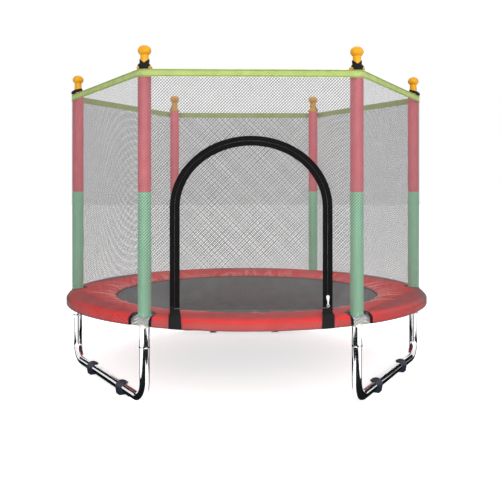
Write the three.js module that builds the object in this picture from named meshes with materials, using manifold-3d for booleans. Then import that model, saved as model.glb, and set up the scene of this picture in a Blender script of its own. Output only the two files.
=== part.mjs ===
// A children's trampoline, 1.4 m across, with a six-post safety enclosure and a zip doorway.
// Millimetres, +Z up. The origin is on the floor under the middle, and the doorway faces -Y.
import * as THREE from 'three';
import { mergeVertices } from 'three/addons/utils/BufferGeometryUtils.js';
import Module from 'manifold-3d';

const wasm = await Module();
wasm.setup();

// Driving dimensions: frame
const postCircleRadius = 675; // middle of the object to each post and leg upright
const frameTubeDiameter = 32; // ring and legs
const frameTubeWall = 1.5;
const ringHeight = 275; // centreline of the ring above the floor
const stubLength = 80; // ring centreline to the lower end of each welded leg socket
const swageLength = 45; // narrowed tube end inside its socket
const swageClearance = 0.8; // between a narrowed end and its socket, on the radius
const swageTaper = 8; // inside of the tube, where it narrows
const pinClearance = 1; // a ring section's pin is thinner still, because the ring curves
const legBendRadius = 60; // centreline of the bends at the floor
const jointGap = 0.3; // between faces that touch
const plugLength = 12; // solid end that carries a narrowed part
const plugSetBack = 1.5; // from the slanted end face of a section to its plug
const ringSteps = 6; // straight lengths that stand for one curved ring section
const boreSides = 8; // flats of a bar that hardly shows
const postSides = 14; // flats of a post, its cap and the collar round the cap
const sleeveSides = 18;

// Driving dimensions: foot clips
const clipWall = 5;
const clipLength = 32; // along the leg
const clipSole = 7; // plastic between the leg and the floor
const clipSoleWidth = 36;
const clipMouthAngle = 75; // degrees of the tube that the clip leaves open
const clipMouthTilt = 12; // degrees that the middle of the mouth lies above the horizontal
const clipLip = 3; // lower lip past the outside of the clip
const clipSpacing = 300; // between the two clips of one leg

// Driving dimensions: posts, sleeves and caps
const postTubeDiameter = 25.4;
const postTubeWall = 1.2;
const spigotLength = 60; // pin on the ring that the post slides over
const sleeveDiameter = 44;
const sleeveBore = 26.4;
const lowerSleeveLength = 391;
const upperSleeveLength = 388;
const capBaseDiameter = 50;
const capBaseHeight = 12;
const capNeckDiameter = 29;
const capNeckLength = 34;
const capBallDiameter = 43;
const capBallHeight = 35;
const capWallOverPost = 3; // plastic above the top of the post
const capFillet = 3; // base to neck
const capBevel = 1.5; // rim of the base
const postBelowBall = 8; // top of the post to the foot of the ball
const sleeveFootGap = 1.5; // foot of a post to the foot of its sleeve

// Driving dimensions: jumping surface
const matEdgeToRing = 135; // edge of the mat to the ring's centreline
const matThickness = 3;
const springsPerBank = 6;
const springDiameter = 12;
const webbingWidth = 12;
const matSeam = 1; // edge of the mat to the webbing
const webbingGap = 4.4; // between the webbing of two banks
const springHold = 5; // length of a spring's end on the webbing
const padMatOverlap = 21; // the pad's inner edge reaches this far in over the mat
const padOverhang = 9; // and its outer edge stands this far out past the ring
const padThickness = 11;
const padDrop = 14; // the pad's inner edge lies this much lower than its crown
const padSkirt = 38; // crown of the pad to its lower outer edge
const padSkirtThickness = 5.5;
const padCamber = 1; // by which the crown falls towards the shoulder
const padInnerDroop = 6; // underside of the pad below its inner top edge
const padEdgeThickness = 9.5; // along the inner edge
const padRiseWidth = 105; // inner edge to crown
const padShoulderWidth = 28; // crown to outer edge
const padEdgeRound = 7;
const padRingGap = 0.6; // ring to the underside of the pad
const padNotchWidth = 80; // cut-out round each post
const notchMiddleOut = 5; // post to the middle of the notch's round end
const padGathers = 20;
const gatherDepth = 2.2;

// Driving dimensions: enclosure net and doorway
const netClearance = 1.2; // net to sleeves and to the pad
const netThickness = 1.6;
const netColumns = 4;
const netRows = 3;
const netCordWidth = 8;
const netBorder = 12;
const panelSeamGap = 1; // between neighbouring panels
const bandHeight = 24;
const bandBelowSleeveTop = 2;
const loopWidth = 30; // elastic loop round each cap
const loopThickness = 1.6;
const loopClearance = 0.7; // loop to cap
const loopOverlap = 12; // strap down over the band
const loopBend = 4; // foot of the cap to where the strap turns inwards
const loopSink = 1; // strap into the band
const loopRootDrop = 2; // top of the band to the root of the strap's back
const loopTurnDrop = 2; // foot of the collar to where the strap meets it
const collarRise = 8; // base of the cap to the collar round its neck
const collarHeight = 8;
const doorHalfWidth = 256; // outer edge of the arch tape
const doorSideHeight = 314; // straight sides of the doorway, sill to arch
const doorCrown = 226; // rise of the outer edge above that
const tapeWidth = 15;
const tapeThickness = 2.4;
const tabStandOff = 2.2; // middle of the net to the back of the tabs
const tabPadGap = 1.2; // pad to the underside of the tabs
const zipGap = 1; // between the two tapes
const sillAbovePad = 19; // crown of the pad to the lower edge of the door flap
const sillGap = 3;
const tabAboveSill = 6; // top of the tabs
const tabTopWidth = 31;
const tabFootWidth = 42;
const tabSlant = 4; // by which a tab is wider on the pad than at its top
const tabBelowSill = 2; // so that the flap passes over the wide part of the tabs
const tabStitchInset = 1;
const sliderWidth = 12;
const sliderHeight = 17;
const sliderThickness = 5;
const sliderHeightAboveSill = 30; // centre of the slider when the door is shut
const sliderStandOff = 3.5; // back of the slider to the tapes
const bridgeWidth = 3.2; // of the slider's bridge, which holds the pull
const bridgeWall = 1.1;
const pullBelowSliderMiddle = 1; // top of the pull
const pullWidth = 9;
const pullLength = 27;
const pullThickness = 1.8;

// Worked out from the driving dimensions
const tubeRadius = frameTubeDiameter / 2;
const boreRadius = tubeRadius - frameTubeWall;
const matRadius = postCircleRadius - matEdgeToRing;
const padInnerRadius = matRadius - padMatOverlap;
const padOuterRadius = postCircleRadius + tubeRadius + padOverhang;
const swageRadius = boreRadius - swageClearance;
const legBarHeight = clipSole + tubeRadius;
const stubEnd = ringHeight - stubLength;
const postBottom = ringHeight + tubeRadius + jointGap;
const sleeveRadius = sleeveDiameter / 2;
const lowerSleeveBottom = postBottom + sleeveFootGap;
const upperSleeveBottom = lowerSleeveBottom + lowerSleeveLength + jointGap;
const sleeveTop = upperSleeveBottom + upperSleeveLength;
const capBottom = sleeveTop + jointGap;
const postTop = capBottom + capBaseHeight + capNeckLength - postBelowBall;
const springRadius = springDiameter / 2;
const padCrown = ringHeight + tubeRadius + padThickness;
const padFoot = padCrown - padSkirt;
const sixth = Math.PI / 3;
const netOffset = sleeveRadius + netClearance + netThickness / 2; // posts to the middle of the net
const netCornerRadius = postCircleRadius + netOffset / Math.cos(sixth / 2);
const netApothem = netCornerRadius * Math.cos(sixth / 2);
const bandTop = sleeveTop - bandBelowSleeveTop;
const netTop = bandTop - bandHeight - jointGap;
const netFoot = padCrown + netClearance;
const doorSill = padCrown + sillAbovePad;
const doorSpring = doorSill + doorSideHeight;
const tabTopHeight = doorSill + tabAboveSill;
const netHalfWidth = netCornerRadius * Math.sin(sixth / 2) - panelSeamGap / 2;
const zipHalfWidth = doorHalfWidth - tapeWidth - zipGap / 2;

const postNames = ['right', 'back_right', 'back_left', 'left', 'front_left', 'front_right'];

// ---- helpers -------------------------------------------------------------------------------

// The solid that a closed geometry encloses, for joining and cutting.
function toSolid(geometry) {
  const bare = geometry.clone();
  bare.deleteAttribute('normal');
  bare.deleteAttribute('uv');
  const merged = mergeVertices(bare, 1e-4);
  const mesh = new wasm.Mesh({
    numProp: 3,
    vertProperties: new Float32Array(merged.attributes.position.array),
    triVerts: new Uint32Array(merged.index.array),
  });
  return new wasm.Manifold(mesh);
}

// The geometry of a joined or cut solid.
function toGeometry(solid) {
  const mesh = solid.getMesh();
  const geometry = new THREE.BufferGeometry();
  geometry.setAttribute('position', new THREE.BufferAttribute(new Float32Array(mesh.vertProperties), 3));
  geometry.setIndex(new THREE.BufferAttribute(new Uint32Array(mesh.triVerts), 1));
  return geometry;
}

function join(...geometries) {
  return toGeometry(geometries.map(toSolid).reduce((sum, next) => sum.add(next)));
}

function cut(geometry, ...tools) {
  return toGeometry(tools.map(toSolid).reduce((rest, tool) => rest.subtract(tool), toSolid(geometry)));
}

function common(geometry, other) {
  return toGeometry(toSolid(geometry).intersect(toSolid(other)));
}

// A round bar swept through stations {at, along, radius}, whose path stays in the plane square to side.
function sweptBar(stations, side, sides = 10) {
  const positions = [];
  for (const { at, along, radius } of stations) {
    const up = new THREE.Vector3().crossVectors(side, along).normalize();
    for (let k = 0; k < sides; k += 1) {
      const turn = (2 * Math.PI * k) / sides;
      const point = at.clone();
      point.addScaledVector(side, radius * Math.cos(turn));
      point.addScaledVector(up, radius * Math.sin(turn));
      positions.push(point.x, point.y, point.z);
    }
  }
  const first = positions.length / 3;
  const last = first + 1;
  positions.push(...stations[0].at.toArray(), ...stations.at(-1).at.toArray());
  const faces = [];
  for (let s = 0; s + 1 < stations.length; s += 1) {
    for (let k = 0; k < sides; k += 1) {
      const a = s * sides + k;
      const b = s * sides + ((k + 1) % sides);
      faces.push(a, b + sides, b, a, a + sides, b + sides);
    }
  }
  const end = (stations.length - 1) * sides;
  for (let k = 0; k < sides; k += 1) {
    const next = (k + 1) % sides;
    faces.push(first, k, next);
    faces.push(last, end + next, end + k);
  }
  const geometry = new THREE.BufferGeometry();
  geometry.setAttribute('position', new THREE.Float32BufferAttribute(positions, 3));
  geometry.setIndex(faces);
  return geometry;
}

// A solid of revolution about +Z from a closed or axis-to-axis profile of [radius, height].
function turned(profile, sides, phase = 0) {
  const points = profile.map(([radius, height]) => new THREE.Vector2(radius, height));
  const geometry = new THREE.LatheGeometry(points, sides, phase, 2 * Math.PI);
  geometry.rotateX(Math.PI / 2);
  return geometry;
}

// An upright tube from bottom to top, round +Z.
function uprightTube(outer, inner, bottom, top, sides) {
  return turned([[inner, bottom], [outer, bottom], [outer, top], [inner, top], [inner, bottom]], sides);
}

function polar(radius, angle, height) {
  return new THREE.Vector3(radius * Math.cos(angle), radius * Math.sin(angle), height);
}

// A shape drawn in the xy plane, thickened from one height to another.
function slab(shape, bottom, top, curveSegments = 8) {
  const depth = top - bottom;
  const geometry = new THREE.ExtrudeGeometry(shape, { depth, bevelEnabled: false, curveSegments });
  geometry.translate(0, 0, bottom);
  return geometry;
}

function outline(points) {
  return new THREE.Shape(points.map(([x, y]) => new THREE.Vector2(x, y)));
}

const trampoline = new THREE.Group();

function place(name, geometry, material, position = [0, 0, 0], turn = 0, parent = trampoline) {
  const mesh = new THREE.Mesh(geometry, material);
  mesh.name = name;
  mesh.position.set(...position);
  mesh.rotation.z = turn;
  parent.add(mesh);
  return mesh;
}

// ---- materials -----------------------------------------------------------------------------

const steel = new THREE.MeshStandardMaterial({ color: 0xc9ccd0, roughness: 0.25, metalness: 1 });
const postSteel = new THREE.MeshStandardMaterial({ color: 0xb4b8bd, roughness: 0.4, metalness: 1 });
const clipPlastic = new THREE.MeshStandardMaterial({ color: 0x22283a, roughness: 0.5, metalness: 0 });
const redFoam = new THREE.MeshStandardMaterial({ color: 0xcf5c6a, roughness: 0.8, metalness: 0 });
const greenFoam = new THREE.MeshStandardMaterial({ color: 0x7cc0a0, roughness: 0.8, metalness: 0 });
const amberPlastic = new THREE.MeshStandardMaterial({ color: 0xf0a010, roughness: 0.3, metalness: 0 });
const padFabric = new THREE.MeshStandardMaterial({ color: 0xd02a30, roughness: 0.6, metalness: 0 });
const matFabric = new THREE.MeshStandardMaterial({ color: 0x2b2b2d, roughness: 0.9, metalness: 0 });
const springSteel = new THREE.MeshStandardMaterial({ color: 0xbfc2c6, roughness: 0.35, metalness: 1 });
const netCord = new THREE.MeshStandardMaterial({ color: 0x6f7173, roughness: 0.9, metalness: 0 });
const bandWebbing = new THREE.MeshStandardMaterial({ color: 0xbdd67c, roughness: 0.8, metalness: 0 });
const tapeFabric = new THREE.MeshStandardMaterial({ color: 0x1a1a1b, roughness: 0.9, metalness: 0 });
const zipMetal = new THREE.MeshStandardMaterial({ color: 0xd8d8d8, roughness: 0.3, metalness: 0.8 });

// ---- ring ----------------------------------------------------------------------------------

// One sixth of the ring, centred on the post at +X, with its leg socket, post spigot and narrowed end.
function ringSection() {
  const trim = jointGap / 2 / postCircleRadius;
  const halfArc = sixth / 2 - trim;
  const halfStep = halfArc / ringSteps;
  const tangent = (angle) => new THREE.Vector3(-Math.sin(angle), Math.cos(angle), 0);
  const arc = (radius, overrun, sides) => {
    const stations = [];
    for (let k = 0; k <= ringSteps; k += 1) {
      const angle = (2 * k - ringSteps) * halfStep;
      const at = polar(postCircleRadius, angle, ringHeight);
      if (k === 0) at.addScaledVector(tangent(angle + halfStep), -overrun);
      if (k === ringSteps) at.addScaledVector(tangent(angle - halfStep), overrun);
      stations.push({ at, along: tangent(angle), radius });
    }
    return sweptBar(stations, new THREE.Vector3(0, 0, 1), sides);
  };
  const straight = (radius, at, along, length, sides = boreSides) => {
    const side = Math.abs(along.z) > 0.5 ? new THREE.Vector3(1, 0, 0) : new THREE.Vector3(0, 0, 1);
    const stop = at.clone().addScaledVector(along, length);
    return sweptBar([{ at, along, radius }, { at: stop, along, radius }], side, sides);
  };
  const down = new THREE.Vector3(0, 0, -1);
  const up = new THREE.Vector3(0, 0, 1);
  const centre = polar(postCircleRadius, 0, ringHeight);
  const insideTop = centre.clone().addScaledVector(up, boreRadius * 0.5);
  const spigotRadius = postTubeDiameter / 2 - postTubeWall - swageClearance;
  const joint = polar(postCircleRadius, halfArc, ringHeight);
  const lastLength = tangent(halfArc - halfStep);
  const nextLength = tangent(halfArc + halfStep);
  const plugStart = joint.clone().addScaledVector(lastLength, -plugLength - plugSetBack);
  const pinStart = joint.clone().addScaledVector(nextLength, -plugLength / 2);
  const socket = straight(boreRadius, centre, down, stubLength + 1, 10);
  const outside = join(arc(tubeRadius, 0, 10), straight(tubeRadius, centre, down, stubLength, 10));
  const tube = cut(outside, arc(boreRadius, 1, boreSides), socket);
  return join(
    tube,
    straight(spigotRadius, insideTop, up, spigotLength + tubeRadius - boreRadius * 0.5),
    straight(boreRadius + frameTubeWall / 2, plugStart, lastLength, plugLength),
    straight(swageRadius - pinClearance, pinStart, nextLength, swageLength + plugLength / 2),
  );
}

// ---- legs and their clips ------------------------------------------------------------------

// A U-shaped leg between the posts at angles from and to; its narrowed ends go up into the sockets.
function leg(from, to) {
  const start = polar(postCircleRadius, from, 0);
  const chord = polar(postCircleRadius, to, 0).sub(start);
  const span = chord.length();
  const across = chord.normalize();
  const side = new THREE.Vector3().crossVectors(across, new THREE.Vector3(0, 0, 1));
  const shoulder = stubEnd - jointGap;
  const point = (distance, height) => start.clone().addScaledVector(across, distance).setZ(height);
  const down = new THREE.Vector3(0, 0, -1);
  const bends = 3;
  const half = (startExtra, neckRadius, bodyRadius, taper) => {
    const stations = [
      { at: point(0, shoulder + swageLength + startExtra), along: down, radius: neckRadius },
      { at: point(0, shoulder), along: down, radius: neckRadius },
      { at: point(0, shoulder - taper), along: down, radius: bodyRadius },
    ];
    for (let k = 0; k <= bends; k += 1) {
      const turn = (Math.PI / 2) * (k / bends);
      const distance = legBendRadius * (1 - Math.cos(turn));
      const height = legBarHeight + legBendRadius * (1 - Math.sin(turn));
      const along = down.clone().multiplyScalar(Math.cos(turn)).addScaledVector(across, Math.sin(turn));
      stations.push({ at: point(distance, height), along, radius: bodyRadius });
    }
    return stations;
  };
  const whole = (startExtra, neckRadius, bodyRadius, taper, sides) => {
    const near = half(startExtra, neckRadius, bodyRadius, taper);
    const far = near.map(({ at, along, radius }) => {
      const distance = at.clone().sub(start).dot(across);
      const mirrored = at.clone().addScaledVector(across, span - 2 * distance);
      const back = along.clone().addScaledVector(across, -2 * along.dot(across)).negate();
      return { at: mirrored, along: back, radius };
    });
    return sweptBar([...near, ...far.reverse()], side, sides);
  };
  const outer = whole(0, swageRadius, tubeRadius, 0.01, 10);
  const inner = whole(1, swageRadius - frameTubeWall, boreRadius, swageTaper, boreSides);
  return cut(outer, inner);
}

// A C-shaped clip on the bar of a leg, along +X, its mouth towards +Y and its sole on the floor.
function footClip() {
  const arcSteps = 5;
  const arcHalfStep = (Math.PI - THREE.MathUtils.degToRad(clipMouthAngle / 2)) / arcSteps;
  const inner = (tubeRadius + jointGap) / Math.cos(arcHalfStep);
  const outer = inner + clipWall;
  const mouthHalf = THREE.MathUtils.degToRad(clipMouthAngle / 2);
  const mouthMiddle = THREE.MathUtils.degToRad(clipMouthTilt);
  const soleHalf = clipSoleWidth / 2;
  const profile = new THREE.Shape();
  const upperTip = mouthMiddle + mouthHalf;
  const lowerTip = mouthMiddle - mouthHalf;
  profile.moveTo(inner * Math.cos(upperTip), inner * Math.sin(upperTip));
  profile.lineTo(outer * Math.cos(upperTip), outer * Math.sin(upperTip));
  profile.absarc(0, 0, outer, upperTip, Math.PI, false);
  profile.lineTo(-soleHalf, -legBarHeight);
  profile.lineTo(soleHalf, -legBarHeight);
  profile.lineTo(outer * Math.cos(lowerTip) + clipLip, outer * Math.sin(lowerTip));
  profile.lineTo(inner * Math.cos(lowerTip), inner * Math.sin(lowerTip));
  profile.absarc(0, 0, inner, lowerTip, upperTip - 2 * Math.PI, true);
  const geometry = new THREE.ExtrudeGeometry(profile, {
    depth: clipLength,
    bevelEnabled: false,
    curveSegments: arcSteps,
  });
  geometry.translate(0, 0, -clipLength / 2);
  geometry.rotateX(Math.PI / 2);
  geometry.rotateZ(Math.PI / 2);
  geometry.translate(0, 0, legBarHeight);
  return geometry;
}

// ---- caps ----------------------------------------------------------------------------------

// A ball-topped cap over the end of a post, standing on the foam sleeve.
function cap() {
  const base = capBaseDiameter / 2;
  const neck = capNeckDiameter / 2;
  const bore = postTubeDiameter / 2 + jointGap;
  const neckTop = capBottom + capBaseHeight + capNeckLength;
  const ballRadius = capBallDiameter / 2;
  const ballHalf = capBallHeight / 2;
  const startTurn = Math.asin(neck / ballRadius);
  const ballMiddle = neckTop + ballHalf * Math.cos(startTurn);
  const profile = [
    [bore, capBottom],
    [base, capBottom],
    [base - capBevel, capBottom + capBaseHeight * 0.55],
    [neck + capFillet, capBottom + capBaseHeight * 0.8],
    [neck, capBottom + capBaseHeight + capFillet],
  ];
  const steps = 6;
  for (let k = 0; k < steps; k += 1) {
    const turn = startTurn + ((Math.PI - startTurn) * k) / steps;
    profile.push([ballRadius * Math.sin(turn), ballMiddle - ballHalf * Math.cos(turn)]);
  }
  profile.push([0, ballMiddle + ballHalf]);
  profile.push([0, postTop + capWallOverPost]);
  profile.push([bore, postTop + capWallOverPost]);
  profile.push([bore, capBottom]);
  const outside = profile.slice(0, -3);
  outside[0] = [0, capBottom];
  const solid = turned(outside, postSides);
  const holeTop = postTop + 2 * jointGap;
  const hole = turned([[0, capBottom - 1], [bore, capBottom - 1], [bore, holeTop], [0, holeTop]], postSides);
  return cut(solid, hole);
}

// ---- pad, mat and springs ------------------------------------------------------------------

// The spring pad: a crowned ring, gathered along its inner edge, with a skirt and a notch at each post.
function springPad() {
  const inner = padInnerRadius;
  const outer = padOuterRadius;
  const innerTop = padCrown - padDrop;
  const underRing = ringHeight + tubeRadius + padRingGap;
  const liner = outer - padSkirtThickness;
  const profile = [
    [inner + 2, innerTop - padEdgeThickness],
    [inner, innerTop - padEdgeThickness * 0.4],
    [inner + padEdgeRound, innerTop],
    [inner + padRiseWidth * 0.43, padCrown - padDrop * 0.35],
    [inner + padRiseWidth, padCrown],
    [outer - padShoulderWidth, padCrown - padCamber],
    [outer - padEdgeRound, padCrown - padEdgeRound],
    [outer, padFoot],
    [liner, padFoot],
    [liner, underRing - padEdgeRound],
    [liner - padEdgeRound, underRing],
    [postCircleRadius - padEdgeRound, underRing],
    [inner + padRiseWidth * 0.38, innerTop - padInnerDroop],
  ];
  const segments = 2 * padGathers;
  const positions = [];
  for (let s = 0; s < segments; s += 1) {
    const angle = (2 * Math.PI * s) / segments;
    const fold = s % 2 === 0 ? 1 : -1;
    profile.forEach(([radius, height], k) => {
      const gathered = k <= 2;
      const fade = k === 3 ? 0.6 : 0;
      const lift = fold * gatherDepth * (gathered ? (k === 0 ? 0 : 1) : fade);
      const pull = gathered ? fold * gatherDepth * 0.8 : 0;
      const point = polar(radius + pull, angle, height + lift);
      positions.push(point.x, point.y, point.z);
    });
  }
  const faces = [];
  const count = profile.length;
  for (let s = 0; s < segments; s += 1) {
    for (let k = 0; k < count; k += 1) {
      const a = s * count + k;
      const b = s * count + ((k + 1) % count);
      const c = ((s + 1) % segments) * count + ((k + 1) % count);
      const d = ((s + 1) % segments) * count + k;
      faces.push(a, b, c, a, c, d);
    }
  }
  const ring = new THREE.BufferGeometry();
  ring.setAttribute('position', new THREE.Float32BufferAttribute(positions, 3));
  ring.setIndex(faces);
  const notches = postNames.map((name, index) => {
    const notch = new THREE.Shape();
    const half = padNotchWidth / 2;
    const middle = postCircleRadius + notchMiddleOut;
    const beyond = outer + half;
    notch.moveTo(beyond, -half);
    notch.lineTo(beyond, half);
    notch.lineTo(middle, half);
    notch.absarc(middle, 0, half, Math.PI / 2, 1.5 * Math.PI, false);
    const prism = slab(notch, padFoot - padThickness, padCrown + padThickness, 6);
    prism.rotateZ(index * sixth);
    return prism;
  });
  return cut(ring, ...notches);
}

function jumpingMat() {
  const geometry = new THREE.CylinderGeometry(matRadius, matRadius, matThickness, 48);
  geometry.rotateX(Math.PI / 2);
  geometry.translate(0, 0, ringHeight);
  return geometry;
}

// Six springs between two posts, on the strip of webbing that their V-rings are sewn to.
function springBank() {
  const stripInner = matRadius + matSeam;
  const stripOuter = stripInner + webbingWidth;
  const halfSpan = sixth / 2 - webbingGap / 2 / stripInner;
  const strip = new THREE.Shape();
  strip.absarc(0, 0, stripOuter, -halfSpan, halfSpan, false);
  strip.absarc(0, 0, stripInner, halfSpan, -halfSpan, true);
  const arc = slab(strip, ringHeight - matThickness / 2, ringHeight + matThickness / 2, 4);
  const hook = (postCircleRadius - tubeRadius) * Math.cos(sixth / ringSteps / 2) - jointGap;
  const pieces = [arc];
  for (let k = 0; k < springsPerBank; k += 1) {
    const angle = (sixth * (k + 0.5)) / springsPerBank - sixth / 2;
    const along = polar(1, angle, 0);
    const stations = [stripOuter - springHold, hook].map((radius) => ({
      at: polar(radius, angle, ringHeight),
      along,
      radius: springRadius,
    }));
    pieces.push(sweptBar(stations, new THREE.Vector3(0, 0, 1), 4));
  }
  return join(...pieces);
}

// ---- net -----------------------------------------------------------------------------------

// The net is drawn flat, x across, y up and z outwards. This stands it across -Y, outside the posts.
function stoodUp(flat) {
  const geometry = flat.clone();
  geometry.rotateX(Math.PI / 2);
  geometry.translate(0, -netApothem, 0);
  return geometry;
}

// The part of a polygon on one side of a line: axis 0 is x, 1 is y, and sign 1 keeps the upper part.
function clipped(points, axis, limit, sign) {
  const kept = [];
  points.forEach((point, k) => {
    const next = points[(k + 1) % points.length];
    const here = sign * (point[axis] - limit);
    const there = sign * (next[axis] - limit);
    if (here >= 0) kept.push(point);
    if (here * there < 0) {
      const share = here / (here - there);
      kept.push(point.map((value, n) => value + share * (next[n] - value)));
    }
  });
  return kept;
}

// The diamond gap centred on a lattice crossing, kept inside the panel's border.
function diamondGap(column, row) {
  const cellWidth = (2 * netHalfWidth) / netColumns;
  const cellHeight = (netTop - netFoot) / netRows;
  const halfX = cellWidth / 2 - netCordWidth * 0.75;
  const halfY = cellHeight / 2 - netCordWidth * 0.75;
  const x = -netHalfWidth + column * cellWidth;
  const y = netFoot + row * cellHeight;
  let gap = [[x, y - halfY], [x + halfX, y], [x, y + halfY], [x - halfX, y]];
  gap = clipped(gap, 0, -netHalfWidth + netBorder, 1);
  gap = clipped(gap, 0, netHalfWidth - netBorder, -1);
  gap = clipped(gap, 1, netFoot + netBorder, 1);
  return clipped(gap, 1, netTop - netBorder, -1);
}

const netHalf = netThickness / 2;

// All the gaps of one panel, as one cutting tool.
function netGaps() {
  const gaps = [];
  for (let row = 0; row <= 2 * netRows; row += 1) {
    for (let column = row % 2; column <= 2 * netColumns; column += 2) {
      const corner = (row === 0 || row === 2 * netRows) && (column === 0 || column === 2 * netColumns);
      if (corner) continue;
      gaps.push(slab(outline(diamondGap(column / 2, row / 2)), -netHalf - 1, netHalf + 1));
    }
  }
  return join(...gaps);
}

function netSheet() {
  const sheet = outline([
    [-netHalfWidth, netFoot],
    [netHalfWidth, netFoot],
    [netHalfWidth, netTop],
    [-netHalfWidth, netTop],
  ]);
  return slab(sheet, -netHalf, netHalf);
}

function plainNet() {
  return stoodUp(cut(netSheet(), netGaps()));
}

// The doorway's outline, inset from the outer edge of its tape: straight sides under half an ellipse.
function arch(inset, bottom) {
  const half = doorHalfWidth - inset;
  const shape = new THREE.Shape();
  shape.moveTo(-half, bottom);
  shape.lineTo(half, bottom);
  shape.lineTo(half, doorSpring);
  shape.absellipse(0, doorSpring, half, doorCrown - inset, 0, Math.PI, false);
  return shape;
}

// A strip that follows the arch between two insets, open at the bottom.
function archStrip(outerInset, innerInset, bottom, low, high) {
  const outer = slab(arch(outerInset, bottom), low, high);
  const inner = slab(arch(innerInset, bottom - 1), low - 1, high + 1);
  return cut(outer, inner);
}

const netDoorInset = -jointGap; // the net ends where the outer tape begins
const flapInset = 2 * tapeWidth + zipGap + jointGap; // and the flap's net where the inner tape ends

function frontNet() {
  const hem = slab(arch(netDoorInset - netBorder, doorSill - sillGap - netBorder), -netHalf - 2, netHalf + 2);
  const doorway = slab(arch(netDoorInset, doorSill - sillGap), -netHalf - 1, netHalf + 1);
  return stoodUp(cut(netSheet(), cut(netGaps(), hem), doorway));
}

function doorFlap() {
  const insideHem = slab(arch(flapInset + netBorder, doorSill + netBorder), -netHalf - 2, netHalf + 2);
  const sheet = slab(arch(flapInset, doorSill), -netHalf, netHalf);
  return stoodUp(cut(sheet, common(netGaps(), insideHem)));
}

// The top band, a straight run of webbing between the posts, with an elastic loop round every cap.
function topBand() {
  const corners = (radius) => postNames.map((name, index) => {
    const corner = polar(radius, index * sixth, 0);
    return [corner.x, corner.y];
  });
  const outer = netCornerRadius + netThickness / 2 / Math.cos(sixth / 2);
  const inner = netCornerRadius - netThickness / 2 / Math.cos(sixth / 2);
  const ring = outline(corners(outer));
  ring.holes.push(outline(corners(inner)));
  const band = slab(ring, bandTop - bandHeight, bandTop);
  const loops = postNames.map((name, index) => elasticLoop(index * sixth));
  return join(band, ...loops.flat());
}

// A strap that leaves the band, passes outside the cap's base and goes round its neck.
function elasticLoop(angle) {
  const neck = capNeckDiameter / 2 + loopClearance;
  const base = capBaseDiameter / 2 + loopClearance;
  const corner = netCornerRadius - postCircleRadius;
  const inner = Math.max(base, corner);
  const t = loopThickness;
  const foot = bandTop - loopOverlap;
  const bend = capBottom + loopBend;
  const collarFoot = capBottom + capBaseHeight + collarRise;
  const collarTop = collarFoot + collarHeight;
  const strap = outline([
    [corner - loopSink, foot],
    [corner + t, foot],
    [inner + t, bend],
    [neck + t, collarFoot - loopTurnDrop],
    [neck + t, collarTop],
    [neck, collarTop],
    [neck, collarFoot - loopTurnDrop - loopSink],
    [inner, bend],
    [corner - loopSink, bandTop - loopRootDrop],
  ]);
  const plate = slab(strap, -loopWidth / 2, loopWidth / 2);
  plate.rotateX(Math.PI / 2);
  const collar = uprightTube(neck + t, neck, collarFoot, collarTop, postSides);
  return [plate, collar].map((geometry) => {
    geometry.translate(postCircleRadius, 0, 0);
    geometry.rotateZ(angle);
    return geometry;
  });
}

// ---- doorway -------------------------------------------------------------------------------

// The tape on the net's side of the zip, with the two flared tabs that hold it down over the pad.
function outerTape() {
  const half = tapeThickness / 2;
  const strip = archStrip(0, tapeWidth, doorSill - sillGap + jointGap, -half, half);
  const tabs = [-1, 1].flatMap((mirror) => tab().map((geometry) => stoodUp(mirrored(geometry, mirror))));
  return join(stoodUp(strip), ...tabs);
}

// The geometry itself, or its mirror image across the plane x = 0 where side is -1.
function mirrored(geometry, side) {
  if (side > 0) return geometry;
  return toGeometry(toSolid(geometry).mirror([1, 0, 0]));
}

// The tab at +x, drawn as the net is: a strap down the tape, out over the pad and down its skirt.
function tab() {
  const inner = doorHalfWidth - tapeWidth;
  const level = padCrown + tabPadGap;
  const shoulder = doorSill - sillGap - tabBelowSill;
  const wide = doorHalfWidth - tabTopWidth - tabSlant;
  const upright = slab(outline([
    [wide, level],
    [doorHalfWidth, level],
    [doorHalfWidth, tabTopHeight],
    [inner, tabTopHeight],
    [inner, shoulder],
    [wide, shoulder],
  ]), tabStandOff, tabStandOff + loopThickness);
  const stitching = slab(outline([
    [inner + tabStitchInset, doorSill],
    [doorHalfWidth - tabStitchInset, doorSill],
    [doorHalfWidth - tabStitchInset, tabTopHeight - tabStitchInset],
    [inner + tabStitchInset, tabTopHeight - tabStitchInset],
  ]), 0, tabStandOff + loopThickness / 2);
  const reach = (x, radius) => Math.sqrt(radius ** 2 - x ** 2) - netApothem;
  const foot = doorHalfWidth - tabFootWidth;
  const skirtBack = padOuterRadius + tabPadGap;
  const skirtFace = skirtBack + loopThickness;
  const plan = (points, low, high) => {
    const geometry = slab(outline(points.map(([x, out]) => [x, -out])), low, high);
    geometry.rotateX(-Math.PI / 2);
    return geometry;
  };
  const overPad = plan([
    [wide, tabStandOff],
    [foot, reach(foot, skirtFace)],
    [doorHalfWidth, reach(doorHalfWidth, skirtFace)],
    [doorHalfWidth, tabStandOff],
  ], level, level + loopThickness);
  const skirt = plan([
    [foot, reach(foot, skirtBack)],
    [foot, reach(foot, skirtFace)],
    [doorHalfWidth, reach(doorHalfWidth, skirtFace)],
    [doorHalfWidth, reach(doorHalfWidth, skirtBack)],
  ], padFoot, level + loopThickness);
  return [upright, stitching, overPad, skirt];
}

function innerTape() {
  const half = tapeThickness / 2;
  return stoodUp(archStrip(tapeWidth + zipGap, 2 * tapeWidth + zipGap, doorSill, -half, half));
}

const sliderFace = tapeThickness / 2 + sliderStandOff;

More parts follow.
